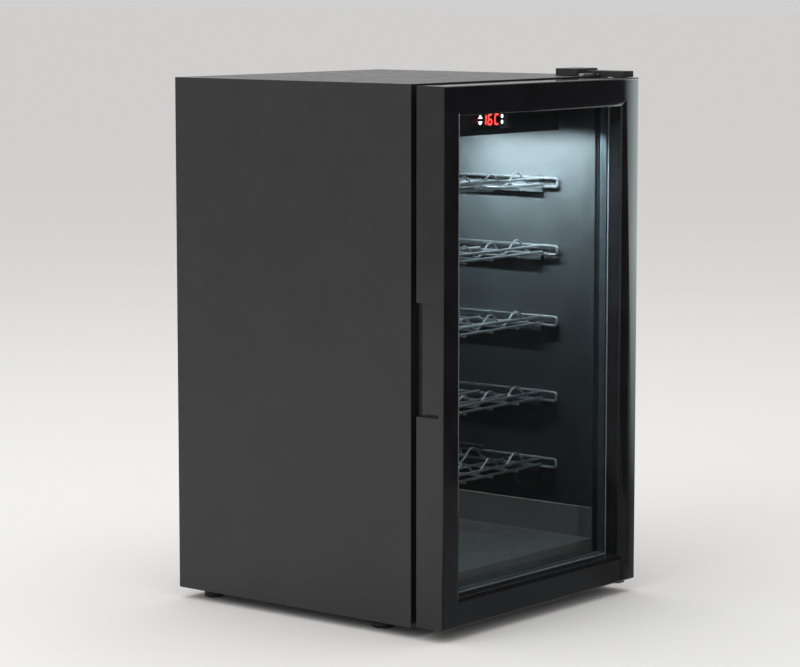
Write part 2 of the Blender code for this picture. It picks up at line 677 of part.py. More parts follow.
# ---- condenser ----------------------------------------------------------------------------------
def make_condenser():
    """Serpentine tube with a lattice of wires behind it, on four stand-off clips."""
    pitch = (CONDENSER_HIGH - CONDENSER_LOW) / (CONDENSER_PASSES - 1)
    turn = CONDENSER_HALF - pitch / 2
    y = CONDENSER_Y
    path = [(-CONDENSER_HALF, y, CONDENSER_HIGH)]
    for index in range(CONDENSER_PASSES - 1):
        side, end = (1, -90) if index % 2 == 0 else (-1, 270)
        middle = CONDENSER_HIGH - pitch * (index + 0.5)
        path += [(x, y, z) for x, z in arc((side * turn, middle), pitch / 2, 90, end, 4)]
    outlet = [(path[-1][0], y, CONDENSER_LOW), (-0.100, y, CONDENSER_LOW), (-0.080, y, 0.200)]
    outlet += [(DRIER_X, y, 0.200), (DRIER_X, COMPRESSOR_Y, 0.185), (DRIER_X, COMPRESSOR_Y, 0.1605)]
    tube("condenser_tube", path + bend(outlet, 0.010, 3)[1:], CONDENSER_TUBE, BLACK_PAINT)
    make_condenser_wires()
    wall = BODY_BACK + FIT
    profile = [(0, wall), (0.006, wall), (0.006, BODY_BACK + 0.003), (0.004, BODY_BACK + 0.004)]
    profile += [(0.004, y + 0.008), (0.007, y + 0.009), (0.007, REAR - 0.001), (0.005, REAR), (0, REAR)]
    spots = [(side, z) for z in (CONDENSER_LOW + pitch * 1.5, CONDENSER_HIGH - pitch * 1.5) for side in (-1, 1)]
    for index, (side, z) in enumerate(spots, start=1):
        spot = (side * WIRE_PITCH * (WIRE_BAYS - 1) / 2, 0, z)
        turned(f"condenser_clip_{index}", profile, NYLON, spot, sides=12, axis="Y")


def make_condenser_wires():
    """Upright wires tied by one wire along the top and one along the bottom."""
    thick = CONDENSER_WIRE
    low = CONDENSER_LOW - 0.008
    high = CONDENSER_HIGH + 0.008
    start = -WIRE_PITCH * WIRE_BAYS / 2
    edges = []
    for index in range(WIRE_BAYS + 1):
        x = start + WIRE_PITCH * index
        edges += [x - thick / 2, x + thick / 2]
    rows = [low, low + thick, high - thick, high]
    front = CONDENSER_Y + CONDENSER_TUBE + FIT
    shape = bmesh.new()
    grid = [[shape.verts.new((x, front, z)) for x in edges] for z in rows]
    for row in range(3):
        for column in range(len(edges) - 1):
            between_wires = row == 1 and column % 2 == 1
            if between_wires:
                continue
            lower, upper = grid[row], grid[row + 1]
            shape.faces.new([lower[column], lower[column + 1], upper[column + 1], upper[column]])
    sides = bmesh.ops.extrude_face_region(shape, geom=shape.faces[:])
    moved = [item for item in sides["geom"] if isinstance(item, bmesh.types.BMVert)]
    bmesh.ops.translate(shape, vec=(0, thick, 0), verts=moved)
    add("condenser_wires", shape, BLACK_PAINT)


# ---- power --------------------------------------------------------------------------------------
def make_power_parts():
    """Power board in its box, and the mains inlet that faces backwards."""
    board_box = box("power_board_box", (0.125, 0.085, 0.050), (0.205, 0.140, 0.150), SATIN_BLACK)
    soften(board_box, 0.002)
    back = BODY_BACK - 0.002
    inlet = box("power_inlet", (0.150, 0.190, PAN_FLOOR + FIT), (0.186, back, 0.062), SATIN_BLACK)
    cut(inlet, [box("socket", (0.155, back - 0.016, 0.038), (0.181, back + 0.01, 0.057))])


# ---- hinges -------------------------------------------------------------------------------------
def hinge_outline(left, right, back):
    """Plate on the cabinet with an arm that reaches out over the hinge axis."""
    neck = BODY_FRONT + 0.008
    arm = HINGE_X - 0.010
    tip = HINGE_Y - 0.010
    return [(left, back), (left, neck), (arm, neck - 0.006), (arm, tip + 0.004), (arm + 0.004, tip),
            (right - 0.004, tip), (right, tip + 0.004), (right, back)]


def make_top_hinge():
    """Plate screwed to the top, its pin, two screws and the cover."""
    low = TOP + FIT
    high = low + HINGE_SHEET
    plate = upright("top_hinge_plate", hinge_outline(0.173, 0.2165, -0.149), low, high, ZINC_STEEL)
    cut(plate, [rod("hole", PIN + FIT, 0, 1, HINGE_X, HINGE_Y)])
    pin_low = DOOR_HIGH - 0.017
    head_low = high + FIT
    head_high = high + 0.0018
    pin = [(0, pin_low), (PIN, pin_low), (PIN, head_low), (0.0055, head_low)]
    pin += [(0.0055, head_high), (0, head_high)]
    turned("top_hinge_pin", pin, ZINC_STEEL, (HINGE_X, HINGE_Y, 0))
    head = [(0, head_low), (0.0045, head_low), (0.0045, head_high), (0, head_high)]
    for index, x in enumerate((0.183, 0.203), start=1):
        turned(f"top_hinge_screw_{index}", head, ZINC_STEEL, (x, -0.165, 0), sides=12)
    make_hinge_cover(low)


def make_hinge_cover(low):
    """Moulded cap: a taller block over the screws and a lower arm over the pin."""
    skin = 0.0012
    left, right = 0.170, 0.2205
    front, back = -0.182, -0.145
    arm_left, arm_front = HINGE_X - 0.0135, -0.2435
    arm_top = HEIGHT - 0.003
    cover = box("top_hinge_cover", (left, front, low), (right, back, HEIGHT), SATIN_BLACK)
    join(cover, [box("arm", (arm_left, arm_front, low), (right, -0.170, arm_top))])
    block = box("block", (left + skin, front + skin, 0), (right - skin, back - skin, HEIGHT - skin))
    arm = box("arm", (arm_left + skin, arm_front + skin, 0), (right - skin, -0.160, arm_top - skin))
    neck = box("neck", (left + skin, -0.200, 0), (right - skin, -0.175, low + HINGE_SHEET + FIT))
    cut(cover, [block, arm, neck])
    finish(cover, SATIN_BLACK)


def make_bottom_hinge():
    """Bracket under the base pan, its pin and two screws."""
    high = FOOT_HEIGHT - 0.0005
    low = high - HINGE_SHEET
    plate = upright("bottom_hinge_plate", hinge_outline(0.160, 0.2185, -0.152), low, high, SATIN_BLACK)
    cut(plate, [rod("hole", PIN + FIT, 0, 1, HINGE_X, HINGE_Y)])
    collar = high + FIT
    pin_high = DOOR_LOW + 0.017
    pin = [(0, low - 0.001), (PIN, low - 0.001), (PIN, collar), (BUSH, collar), (BUSH, collar + 0.001)]
    pin += [(PIN, collar + 0.001), (PIN, pin_high), (0, pin_high)]
    turned("bottom_hinge_pin", pin, ZINC_STEEL, (HINGE_X, HINGE_Y, 0))
    head = [(0, low - 0.002), (0.004, low - 0.002), (0.0045, low - FIT), (0, low - FIT)]
    for index, x in enumerate((0.172, 0.204), start=1):
        turned(f"bottom_hinge_screw_{index}", head, ZINC_STEEL, (x, -0.172, 0), sides=12)


# ---- door ---------------------------------------------------------------------------------------
def make_door_frame():
    """Glossy front frame with a chamfered opening, a finger grip and a hole for each hinge bush."""
    profile = [(0, DOOR_BACK)]
    profile += arc((EDGE_RADIUS, FRONT + EDGE_RADIUS), EDGE_RADIUS, 180, 270, 3)
    profile += [
        (FACE, FRONT), (OPENING, FRONT + CHAMFER_DEPTH), (OPENING, GLASS_FRONT), (REBATE, GLASS_FRONT),
        (REBATE, INNER_FRAME_FRONT), (CAP, INNER_FRAME_FRONT), (CAP, DOOR_BACK),
    ]
    frame = door_ring("door_frame", profile, GLOSS_BLACK)
    grip_high = (-HALF + GRIP_IN, DOOR_BACK + 0.01, GRIP_HIGH)
    grip = box("grip", (-HALF - 0.01, FRONT + GRIP_LIP, GRIP_LOW), grip_high)
    holes = []
    for low, high in ((DOOR_LOW - 0.01, DOOR_LOW + BUSH_LENGTH), (DOOR_HIGH - BUSH_LENGTH, DOOR_HIGH + 0.01)):
        holes.append(rod("hole", BUSH + FIT, low, high, HINGE_X, HINGE_Y))
    cut(frame, [grip] + holes)
    return smooth(frame, 30)


def make_inner_frame():
    """Rear frame that holds the glass unit in and takes the seal in a groove."""
    front = INNER_FRAME_FRONT + FIT
    groove = DOOR_BACK - 0.003
    lip_front = DOOR_BACK - LIP_DEPTH
    profile = [
        (CAP + FIT, DOOR_BACK), (CAP + FIT, front), (REBATE, front), (REBATE, lip_front), (LIP, lip_front),
        (LIP, DOOR_BACK), (0.025, DOOR_BACK), (0.025, groove), (0.020, groove), (0.020, DOOR_BACK),
    ]
    return door_ring("door_inner_frame", profile, SATIN_BLACK)


def make_glass_unit():
    """Two panes with a spacer bar between their edges."""
    half = HALF - REBATE - FIT
    low = DOOR_LOW + REBATE + FIT
    high = DOOR_HIGH - REBATE - FIT
    outer = GLASS_FRONT + FIT
    spacer = outer + GLASS + FIT
    inner_back = DOOR_BACK - LIP_DEPTH - FIT
    inner = inner_back - GLASS
    pane = box("glass_outer", (-half, outer, low), (half, outer + GLASS, high), TINTED_GLASS)
    rear_pane = box("glass_inner", (-half, inner, low), (half, inner_back, high), TINTED_GLASS)
    edge = REBATE + 0.001
    profile = [(edge, spacer), (SPACER_IN, spacer), (SPACER_IN, inner - FIT), (edge, inner - FIT)]
    return [pane, rear_pane, door_ring("glass_spacer", profile, ALUMINIUM)]


def make_gasket():
    """Magnetic seal: a foot in the inner frame's groove and a bellows against the cabinet."""
    root = DOOR_BACK + FIT
    foot = DOOR_BACK - 0.0024
    face = BODY_FRONT - 0.0005
    waist = (root + face) / 2
    profile = [
        (0.0165, root), (0.0185, waist), (0.0165, face - 0.0015), (0.0175, face), (0.0275, face),
        (0.0285, face - 0.0015), (0.0265, waist), (0.0285, root), (0.0240, root), (0.0240, foot),
        (0.0210, foot), (0.0210, root),
    ]
    return door_ring("door_gasket", profile, RUBBER)


def make_bushes():
    """Nylon hinge bushes, pressed into the frame's lower and upper rails."""
    bore = PIN + FIT
    flange_low = DOOR_LOW - 0.0012
    end = DOOR_LOW + BUSH_LENGTH - FIT
    lower = [(bore, flange_low), (FLANGE, flange_low), (FLANGE, DOOR_LOW - FIT), (BUSH, DOOR_LOW - FIT)]
    lower += [(BUSH, end), (bore, end)]
    flange_high = DOOR_HIGH + 0.0012
    end = DOOR_HIGH - BUSH_LENGTH + FIT
    upper = [(bore, end), (BUSH, end), (BUSH, DOOR_HIGH + FIT), (FLANGE, DOOR_HIGH + FIT)]
    upper += [(FLANGE, flange_high), (bore, flange_high)]
    spot = (HINGE_X, HINGE_Y, 0)
    return [turned("door_bush_bottom", lower, NYLON, spot), turned("door_bush_top", upper, NYLON, spot)]


def make_door():
    pieces = [make_door_frame(), make_inner_frame(), make_gasket()]
    pieces += make_glass_unit()
    pieces += make_bushes()
    pivot("door_axis", (HINGE_X, HINGE_Y, 0), pieces)


# ---- shelves ------------------------------------------------------------------------------------
def side_rail(x, rear):
    """Flat loop of wire, square at both ends, that runs on the liner's ledges."""
    corners = [(0, 0), (0, RAIL_RISE), (rear, RAIL_RISE), (rear, 0)]
    path = []
    for (y, z), start in zip(corners, (270, 180, 90, 0)):
        inner_y = RAIL_CORNER if y == 0 else rear - RAIL_CORNER
        inner_z = RAIL_CORNER if z == 0 else RAIL_RISE - RAIL_CORNER
        path += arc((inner_y, inner_z), RAIL_CORNER, start, start - 90, 2)
    return tube("rail", [(x, y, z) for y, z in path], WIRE, sides=4, loop=True)


def cradle_wire(y):
    """Waved cross wire with one dip for each bottle."""
    steps = 4 * CRADLES
    middle = (CRADLE_HIGH + CRADLE_LOW) / 2
    swing = (CRADLE_HIGH - CRADLE_LOW) / 2
    points = []
    for step in range(steps + 1):
        x = -SHELF_HALF + 2 * SHELF_HALF * step / steps
        points.append((x, y, middle - swing * math.cos(2 * math.pi * step / 4)))
    return tube("cradle", points, THIN_WIRE, sides=4)


def make_shelf_mesh(name, rear):
    """One welded wire shelf with its origin at the front, level with its lower side wires."""
    depth = rear - SHELF_FRONT
    shelf = side_rail(-SHELF_HALF, depth)
    others = [side_rail(SHELF_HALF, depth)]
    last = depth - REAR_IN
    bays = max(2, round((last - CROSS_IN) / CROSS_PITCH))
    for index in range(bays + 1):
        y = CROSS_IN + (last - CROSS_IN) * index / bays
        others.append(tube("cross", [(-SHELF_HALF, y, CROSS_RISE), (SHELF_HALF, y, CROSS_RISE)], WIRE, sides=4))
    upper = [(-SHELF_HALF, CROSS_IN, RAIL_RISE), (SHELF_HALF, CROSS_IN, RAIL_RISE)]
    others.append(tube("front", upper, WIRE, sides=4))
    for index in range(1, CRADLES):
        x = SHELF_HALF * (2 * index / CRADLES - 1)
        others.append(tube("long", [(x, CROSS_IN - 0.004, 0), (x, last + 0.004, 0)], THIN_WIRE, sides=4))
    others += [cradle_wire(FRONT_CRADLE), cradle_wire(depth - REAR_CRADLE)]
    join(shelf, others)
    shelf.name = name
    return shelf


def make_shelves():
    """Four deep shelves that share one shape, and a shallow one over the floor."""
    shelves = [make_shelf_mesh("shelf_1", SHELF_REAR)]
    for index in (2, 3, 4):
        copy = bpy.data.objects.new(f"shelf_{index}", shelves[0].data.copy())
        bpy.context.collection.objects.link(copy)
        shelves.append(copy)
    shelves.append(make_shelf_mesh("shelf_5", LOW_SHELF_REAR))
    for shelf, level in zip(shelves, SHELF_LEVELS):
        shelf.location = (0, SHELF_FRONT, level)
        finish(shelf, CHROME_WIRE)


# ---- build --------------------------------------------------------------------------------------
def build():
    clear_scene()
    make_outer_shell()
    make_rear_panels()
    make_base_pan()
    make_inner_liner()
    make_insulation()
    make_evaporator()
    make_feet()
    make_control_box()
    make_fan_cover()
    make_fan()
    make_temperature_sensor()
    make_compressor()
    make_drip_tray()
    make_filter_drier()
    make_tubes()
    make_condenser()
    make_power_parts()
    make_top_hinge()
    make_bottom_hinge()
    make_door()
    make_shelves()


build()
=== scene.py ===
"""Looks of the wine cooler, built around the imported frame: fine shapes, materials, studio and camera."""

import json
import math

import bmesh
import bpy
from mathutils import Matrix, Vector

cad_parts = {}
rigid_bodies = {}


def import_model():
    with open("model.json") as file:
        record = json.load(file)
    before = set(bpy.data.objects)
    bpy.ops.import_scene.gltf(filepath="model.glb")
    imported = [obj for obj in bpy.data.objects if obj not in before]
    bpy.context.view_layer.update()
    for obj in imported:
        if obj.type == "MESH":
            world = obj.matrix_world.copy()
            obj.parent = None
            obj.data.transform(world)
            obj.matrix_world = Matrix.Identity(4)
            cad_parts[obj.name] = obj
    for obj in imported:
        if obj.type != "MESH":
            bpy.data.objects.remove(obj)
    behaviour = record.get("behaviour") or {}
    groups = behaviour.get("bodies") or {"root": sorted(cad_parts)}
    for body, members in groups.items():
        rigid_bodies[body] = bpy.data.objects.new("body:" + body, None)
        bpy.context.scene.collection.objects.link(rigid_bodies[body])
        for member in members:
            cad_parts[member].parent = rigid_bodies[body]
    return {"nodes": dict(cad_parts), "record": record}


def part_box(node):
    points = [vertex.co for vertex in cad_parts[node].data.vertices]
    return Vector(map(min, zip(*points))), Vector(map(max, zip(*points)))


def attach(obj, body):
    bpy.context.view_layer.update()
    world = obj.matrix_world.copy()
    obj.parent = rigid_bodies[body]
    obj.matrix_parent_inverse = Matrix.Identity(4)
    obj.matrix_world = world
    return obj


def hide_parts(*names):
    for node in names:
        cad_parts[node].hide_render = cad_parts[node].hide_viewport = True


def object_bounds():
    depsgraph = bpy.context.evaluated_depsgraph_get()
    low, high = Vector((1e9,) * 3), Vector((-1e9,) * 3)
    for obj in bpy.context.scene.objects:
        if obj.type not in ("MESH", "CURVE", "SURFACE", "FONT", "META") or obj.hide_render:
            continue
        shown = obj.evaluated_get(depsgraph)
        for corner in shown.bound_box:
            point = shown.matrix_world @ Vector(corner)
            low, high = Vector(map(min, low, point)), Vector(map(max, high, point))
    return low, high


for leftover in list(bpy.data.objects):
    bpy.data.objects.remove(leftover, do_unlink=True)
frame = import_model()
cad_low, cad_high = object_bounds()
NODES = frame["nodes"]

# ---- colours (linear) -----------------------------------------------------------------------------
BLACK = (0.006, 0.006, 0.007)
SOFT_BLACK = (0.013, 0.013, 0.014)
COOL_WHITE = (0.82, 0.95, 1.0)
LED_RED = (1.0, 0.035, 0.03)

# ---- camera ---------------------------------------------------------------------------------------
VIEW_AZIMUTH = -51.0
VIEW_ELEVATION = 7.0
VIEW_DISTANCE = 4.1
IMAGE_SHAPE = 800 / 667
SENSOR = 36.0
FILL = 0.79                          # share of the image height that the cooler takes


def make_camera():
    centre = (cad_low + cad_high) / 2
    azimuth = math.radians(VIEW_AZIMUTH)
    elevation = math.radians(VIEW_ELEVATION)
    flat = math.cos(elevation)
    back = Vector((math.sin(azimuth) * flat, -math.cos(azimuth) * flat, math.sin(elevation)))
    camera = bpy.data.objects.new("camera", bpy.data.cameras.new("camera"))
    bpy.context.scene.collection.objects.link(camera)
    camera.location = centre + back * VIEW_DISTANCE
    camera.rotation_euler = (-back).to_track_quat("-Z", "Y").to_euler()
    seen_height = (cad_high.z - cad_low.z) / FILL
    camera.data.sensor_width = SENSOR
    camera.data.lens = SENSOR * VIEW_DISTANCE / (seen_height * IMAGE_SHAPE)
    camera.data.clip_end = 200
    bpy.context.scene.camera = camera


make_camera()


# ---- materials ------------------------------------------------------------------------------------
class Look:
    """A Principled material whose maps are made from textures in the object's own metres."""

    def __init__(self, name, **constants):
        self.material = bpy.data.materials.new(name)
        self.material.use_nodes = True
        self.tree = self.material.node_tree
        self.shader = self.tree.nodes["Principled BSDF"]
        for socket, value in constants.items():
            self.shader.inputs[socket.replace("_", " ")].default_value = value
        self.place = self.tree.nodes.new("ShaderNodeTexCoord").outputs["Object"]

    def node(self, kind, inputs=(), **settings):
        made = self.tree.nodes.new(kind)
        for key, value in settings.items():
            setattr(made, key, value)
        for key, value in dict(inputs).items():
            if isinstance(value, bpy.types.NodeSocket):
                self.tree.links.new(value, made.inputs[key])
            else:
                made.inputs[key].default_value = value
        return made

    def stretched(self, stretch):
        """Texture coordinates, squeezed along some axes so that a pattern runs along the others."""
        return self.node("ShaderNodeMapping", {"Vector": self.place, "Scale": stretch}).outputs["Vector"]

    def noise(self, size, detail=4.0, stretch=None):
        place = self.stretched(stretch) if stretch else self.place
        inputs = {"Vector": place, "Scale": 1 / size, "Detail": detail}
        return self.node("ShaderNodeTexNoise", inputs).outputs["Fac"]

    def cells(self, size, feature="F1"):
        inputs = {"Vector": self.place, "Scale": 1 / size}
        return self.node("ShaderNodeTexVoronoi", inputs, feature=feature).outputs["Distance"]

    def remap(self, value, low, high, new_low, new_high):
        inputs = {"Value": value, 1: low, 2: high, 3: new_low, 4: new_high}
        return self.node("ShaderNodeMapRange", inputs).outputs["Result"]

    def colour(self, value, *stops):
        """A colour ramp: each stop is (place, colour)."""
        ramp = self.node("ShaderNodeValToRGB", {"Fac": value})
        points = ramp.color_ramp.elements
        while len(points) < len(stops):
            points.new(1.0)
        for point, (spot, colour) in zip(points, stops):
            point.position = spot
            point.color = (*colour, 1.0)
        self.tree.links.new(ramp.outputs["Color"], self.shader.inputs["Base Color"])
        return ramp.outputs["Color"]

    def rough(self, value, low, high):
        """Roughness that follows a texture between two values."""
        self.tree.links.new(self.remap(value, 0.3, 0.7, low, high), self.shader.inputs["Roughness"])

    def bump(self, height, depth, strength=1.0):
        """Relief of a real depth in metres; more bumps add up."""
        inputs = {"Height": height, "Distance": depth, "Strength": strength}
        before = self.shader.inputs["Normal"]
        if before.is_linked:
            inputs["Normal"] = before.links[0].from_socket
        made = self.node("ShaderNodeBump", inputs)
        self.tree.links.new(made.outputs["Normal"], before)


def gloss_black():
    """Polished black moulding: faint waviness, fine wiping marks and a thin haze of dust."""
    look = Look("gloss_black_frame", IOR=1.5, Specular_IOR_Level=0.5)
    look.colour(look.noise(0.05), (0.35, BLACK), (0.7, (0.011, 0.011, 0.013)))
    look.rough(look.noise(0.012, 6.0, (1, 1, 0.15)), 0.07, 0.15)
    look.bump(look.noise(0.03, 2.0), 0.00006)
    look.bump(look.noise(0.0006, 2.0, (1, 1, 0.04)), 0.0000025)
    return look.material


def moulded_black():
    """Spark-eroded black plastic with a fine leathery grain."""
    look = Look("satin_black_moulding", IOR=1.48)
    look.colour(look.noise(0.02), (0.3, SOFT_BLACK), (0.75, (0.022, 0.022, 0.024)))
    look.rough(look.noise(0.006), 0.34, 0.5)
    look.bump(look.cells(0.0007), 0.00004)
    return look.material


def enamel_black():
    """Black powder coat: pebbled texture, slightly glossy."""
    look = Look("black_enamel_steel", IOR=1.5)
    look.colour(look.noise(0.08), (0.3, (0.0115, 0.0115, 0.0125)), (0.75, (0.0150, 0.0150, 0.0160)))
    look.rough(look.noise(0.02), 0.27, 0.38)
    look.bump(look.cells(0.0022, "SMOOTH_F1"), 0.00010)
    look.bump(look.noise(0.0007), 0.00002)
    return look.material


def liner_plastic():
    """Thermoformed dark grey sheet with a soft, slightly uneven skin."""
    look = Look("inner_liner", IOR=1.49)
    look.colour(look.noise(0.06), (0.3, (0.0185, 0.0205, 0.0215)), (0.75, (0.0238, 0.0262, 0.0275)))
    look.rough(look.noise(0.01), 0.42, 0.56)
    look.bump(look.noise(0.009, 1.0), 0.000012)
    look.bump(look.noise(0.0016, 1.0), 0.000003)
    return look.material


def zinc_steel():
    """Galvanised sheet with soft spangles."""
    look = Look("zinc_plated_steel", Metallic=1.0)
    inputs = {"Vector": look.place, "Scale": 1 / 0.009, "Randomness": 0.9}
    crystals = look.node("ShaderNodeTexVoronoi", inputs).outputs["Color"]
    shade = look.node("ShaderNodeSeparateColor", {"Color": crystals}).outputs
    look.colour(shade["Red"], (0.0, (0.50, 0.51, 0.53)), (1.0, (0.59, 0.60, 0.62)))
    look.rough(shade["Green"], 0.33, 0.43)
    look.bump(look.noise(0.002), 0.00003)
    return look.material


def chrome_wire():
    """Bright nickel-chrome wire with faint drawing lines and dull spots."""
    look = Look("chromed_shelf_wire", Metallic=1.0)
    look.colour(look.noise(0.01), (0.3, (0.50, 0.52, 0.54)), (0.7, (0.66, 0.68, 0.70)))
    look.rough(look.noise(0.003, 5.0), 0.28, 0.36)
    look.bump(look.noise(0.0008, 3.0), 0.00001)
    return look.material


def copper():
    """Drawn copper tube, browned in patches."""
    look = Look("copper_tube", Metallic=1.0)
    stops = [(0.3, (0.30, 0.13, 0.07)), (0.5, (0.58, 0.28, 0.16)), (0.75, (0.74, 0.40, 0.25))]
    look.colour(look.noise(0.018, 6.0), *stops)
    look.rough(look.noise(0.005), 0.25, 0.5)
    look.bump(look.noise(0.001), 0.00002)
    return look.material


def spacer_metal():
    """Mill-finish aluminium with drying holes in rows; its dark blue-grey colour is painted shade for the
    darkening at the glass edge.
    """
    look = Look("aluminium", Metallic=0.7)
    # Painted shade: the dark blue-grey stands in for the darkening at the glass edge.
    look.colour(look.noise(0.02, 3.0), (0.3, (0.060, 0.075, 0.086)), (0.7, (0.085, 0.105, 0.120)))
    look.rough(look.noise(0.004, 4.0, (1, 1, 0.1)), 0.3, 0.45)
    look.bump(look.cells(0.003), 0.00008)
    return look.material


def rubber():
    """Black rubber with a dry, slightly dusty bloom."""
    look = Look("rubber", IOR=1.45, Sheen_Weight=0.15, Sheen_Roughness=0.6)
    look.colour(look.noise(0.01, 6.0), (0.35, (0.010, 0.010, 0.010)), (0.8, (0.028, 0.028, 0.027)))
    look.rough(look.noise(0.004), 0.6, 0.8)
    look.bump(look.noise(0.0012), 0.00005)
    return look.material


def foam():
    look = Look("insulation_foam")
    look.colour(look.noise(0.01), (0.3, (0.62, 0.52, 0.28)), (0.7, (0.82, 0.73, 0.48)))
    look.rough(look.noise(0.004), 0.8, 0.95)
    look.bump(look.cells(0.002), 0.0004)
    return look.material


def circuit_board():
    look = Look("circuit_board", IOR=1.5)
    look.colour(look.cells(0.004, "DISTANCE_TO_EDGE"), (0.05, (0.02, 0.20, 0.07)), (0.2, (0.008, 0.09, 0.03)))
    look.rough(look.noise(0.002), 0.3, 0.5)
    look.bump(look.cells(0.004), 0.00008)
    return look.material


def nylon():
    look = Look("white_nylon", IOR=1.5, Subsurface_Weight=0.15, Subsurface_Radius=(0.002, 0.002, 0.0015))
    look.colour(look.noise(0.01), (0.3, (0.60, 0.60, 0.56)), (0.7, (0.72, 0.72, 0.68)))
    look.rough(look.noise(0.003), 0.4, 0.55)
    look.bump(look.noise(0.0015), 0.00003)
    return look.material


def smoked_window():
    """Dark glossy cover over the display."""
    look = Look("smoked_display_window", IOR=1.5)
    look.colour(look.noise(0.02), (0.3, (0.003, 0.003, 0.004)), (0.7, (0.006, 0.006, 0.007)))
    look.rough(look.noise(0.003), 0.06, 0.12)
    look.bump(look.noise(0.004, 2.0), 0.00001)
    return look.material


def lamp_diffuser(light):
    """Milky lens, brighter in front of each small light behind it."""
    look = Look("lamp_diffuser", Base_Color=(0.8, 0.86, 0.92, 1), Roughness=0.45, Emission_Strength=light)
    dots = look.node("ShaderNodeTexWave", {"Vector": look.place, "Scale": 18.0}, bands_direction="X")
    glow = look.node("ShaderNodeValToRGB", {"Fac": dots.outputs["Fac"]})
    glow.color_ramp.elements[0].color = (0.42, 0.58, 0.72, 1)
    glow.color_ramp.elements[1].color = (*COOL_WHITE, 1)
    look.tree.links.new(glow.outputs["Color"], look.shader.inputs["Emission Color"])
    return look.material


def glow(name, colour, light):
    """Lit marks of the display, a little uneven."""
    look = Look(name, Roughness=0.4, Emission_Strength=light)
    uneven = look.noise(0.002, 2.0)
    ramp = look.colour(uneven, (0.3, tuple(0.85 * part for part in colour)), (0.7, colour))
    look.tree.links.new(ramp, look.shader.inputs["Emission Color"])
    return look.material


def tinted_glass():
    """Flat grey-tinted pane with faint wiping smears."""
    look = Look("tinted_glass", Transmission_Weight=1.0, IOR=1.42)
    look.colour(look.noise(0.05), (0.3, (0.82, 0.86, 0.87)), (0.7, (0.85, 0.89, 0.90)))
    look.rough(look.noise(0.03, 5.0, (1, 1, 0.3)), 0.0, 0.02)
    look.bump(look.noise(0.1, 1.0), 0.000008)
    return look.material


LOOKS = {
    "gloss_black_frame": gloss_black(),
    "satin_black_moulding": moulded_black(),
    "black_enamel_steel": enamel_black(),
    "inner_liner": liner_plastic(),
    "zinc_plated_steel": zinc_steel(),
    "chromed_shelf_wire": chrome_wire(),
    "copper_tube": copper(),
    "aluminium": spacer_metal(),
    "rubber": rubber(),
    "insulation_foam": foam(),
    "circuit_board": circuit_board(),
    "tinted_glass": tinted_glass(),
    "smoked_display_window": smoked_window(),
    "lamp_diffuser": lamp_diffuser(6.0),
    "white_nylon": nylon(),
}
SLOT_OF = {entry["node"]: entry["material_slot"] for entry in frame["record"]["subparts"]}


def dress_cad_nodes():
    """Every CAD node takes the look of its slot in the record."""
    for name, thing in NODES.items():
        thing.data.materials.clear()
        thing.data.materials.append(LOOKS[SLOT_OF[name]])
        thing.visible_shadow = SLOT_OF[name] != "tinted_glass"


# ---- shaping tools --------------------------------------------------------------------------------
WELD_REACH = 0.00001                 # corners nearer than this are joined
FLAT_ANGLE = 0.5                     # degrees between faces that count as one flat face
EDGE_ANGLE = 28                      # degrees, from which an edge counts as sharp
TIP_WIDTH = 0.7                      # a wire's very end, as a share of its radius
TIP_LENGTH = 0.3                     # how far its end takes to reach the full radius, likewise


def weld(thing):
    """Join the corners that a CAD node's faces have in common."""
    thing.modifiers.new("weld", "WELD").merge_threshold = WELD_REACH


def soften(names, width, segments=3):
    """Break a CAD node's sharp edges with modifiers; its own mesh stays as packed."""
    for name in names:
        thing = NODES[name]
        weld(thing)
        flat = thing.modifiers.new("flat_faces", "DECIMATE")
        flat.decimate_type = "DISSOLVE"
        flat.angle_limit = math.radians(FLAT_ANGLE)
        edges = thing.modifiers.new("soft_edges", "BEVEL")
        edges.width = width
        edges.segments = segments
        edges.limit_method = "ANGLE"
        edges.angle_limit = math.radians(EDGE_ANGLE)
        edges.face_strength_mode = "FSTR_ALL"
        thing.data.shade_smooth()
        even = thing.modifiers.new("even_faces", "WEIGHTED_NORMAL")
        even.weight = 100
        even.use_face_influence = True


def round_tube(names):
    """Smooth a faceted CAD tube into a round one."""
    for name in names:
        thing = NODES[name]
        weld(thing)
        rounder = thing.modifiers.new("rounder", "SUBSURF")
        rounder.levels = 2
        rounder.render_levels = 2
        thing.data.shade_smooth()


def to_object(name, shape, material):
    """Turn a bmesh into an object of the scene."""
    mesh = bpy.data.meshes.new(name)
    shape.to_mesh(mesh)
    shape.free()
    mesh.materials.append(material)
    thing = bpy.data.objects.new(name, mesh)
    bpy.context.scene.collection.objects.link(thing)
    return thing


def piece(name, shape, slot, body, replaced=(), smooth=35):
    """Turn a bmesh into a finished piece that rides on a body and may stand for CAD nodes."""
    bmesh.ops.recalc_face_normals(shape, faces=shape.faces)
    thing = to_object(name, shape, LOOKS[slot])
    thing.data.shade_smooth()
    thing.data.set_sharp_from_angle(angle=math.radians(smooth))
    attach(thing, body)
    if replaced:
        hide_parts(*replaced)
    return thing


def add_box(shape, low, high):
    made = bmesh.ops.create_cube(shape, size=1.0)["verts"]
    low = Vector(low)
    high = Vector(high)
    bmesh.ops.scale(shape, vec=high - low, verts=made)
    bmesh.ops.translate(shape, vec=(low + high) / 2, verts=made)
    return made


def add_soft_box(shape, low, high, width, segments):
    """A box whose edges are rounded over a width."""
    made = add_box(shape, low, high)
    edges = [edge for edge in shape.edges if edge.verts[0] in made and edge.verts[1] in made]
    bmesh.ops.bevel(shape, geom=edges, offset=width, segments=segments, profile=0.5, affect="EDGES")


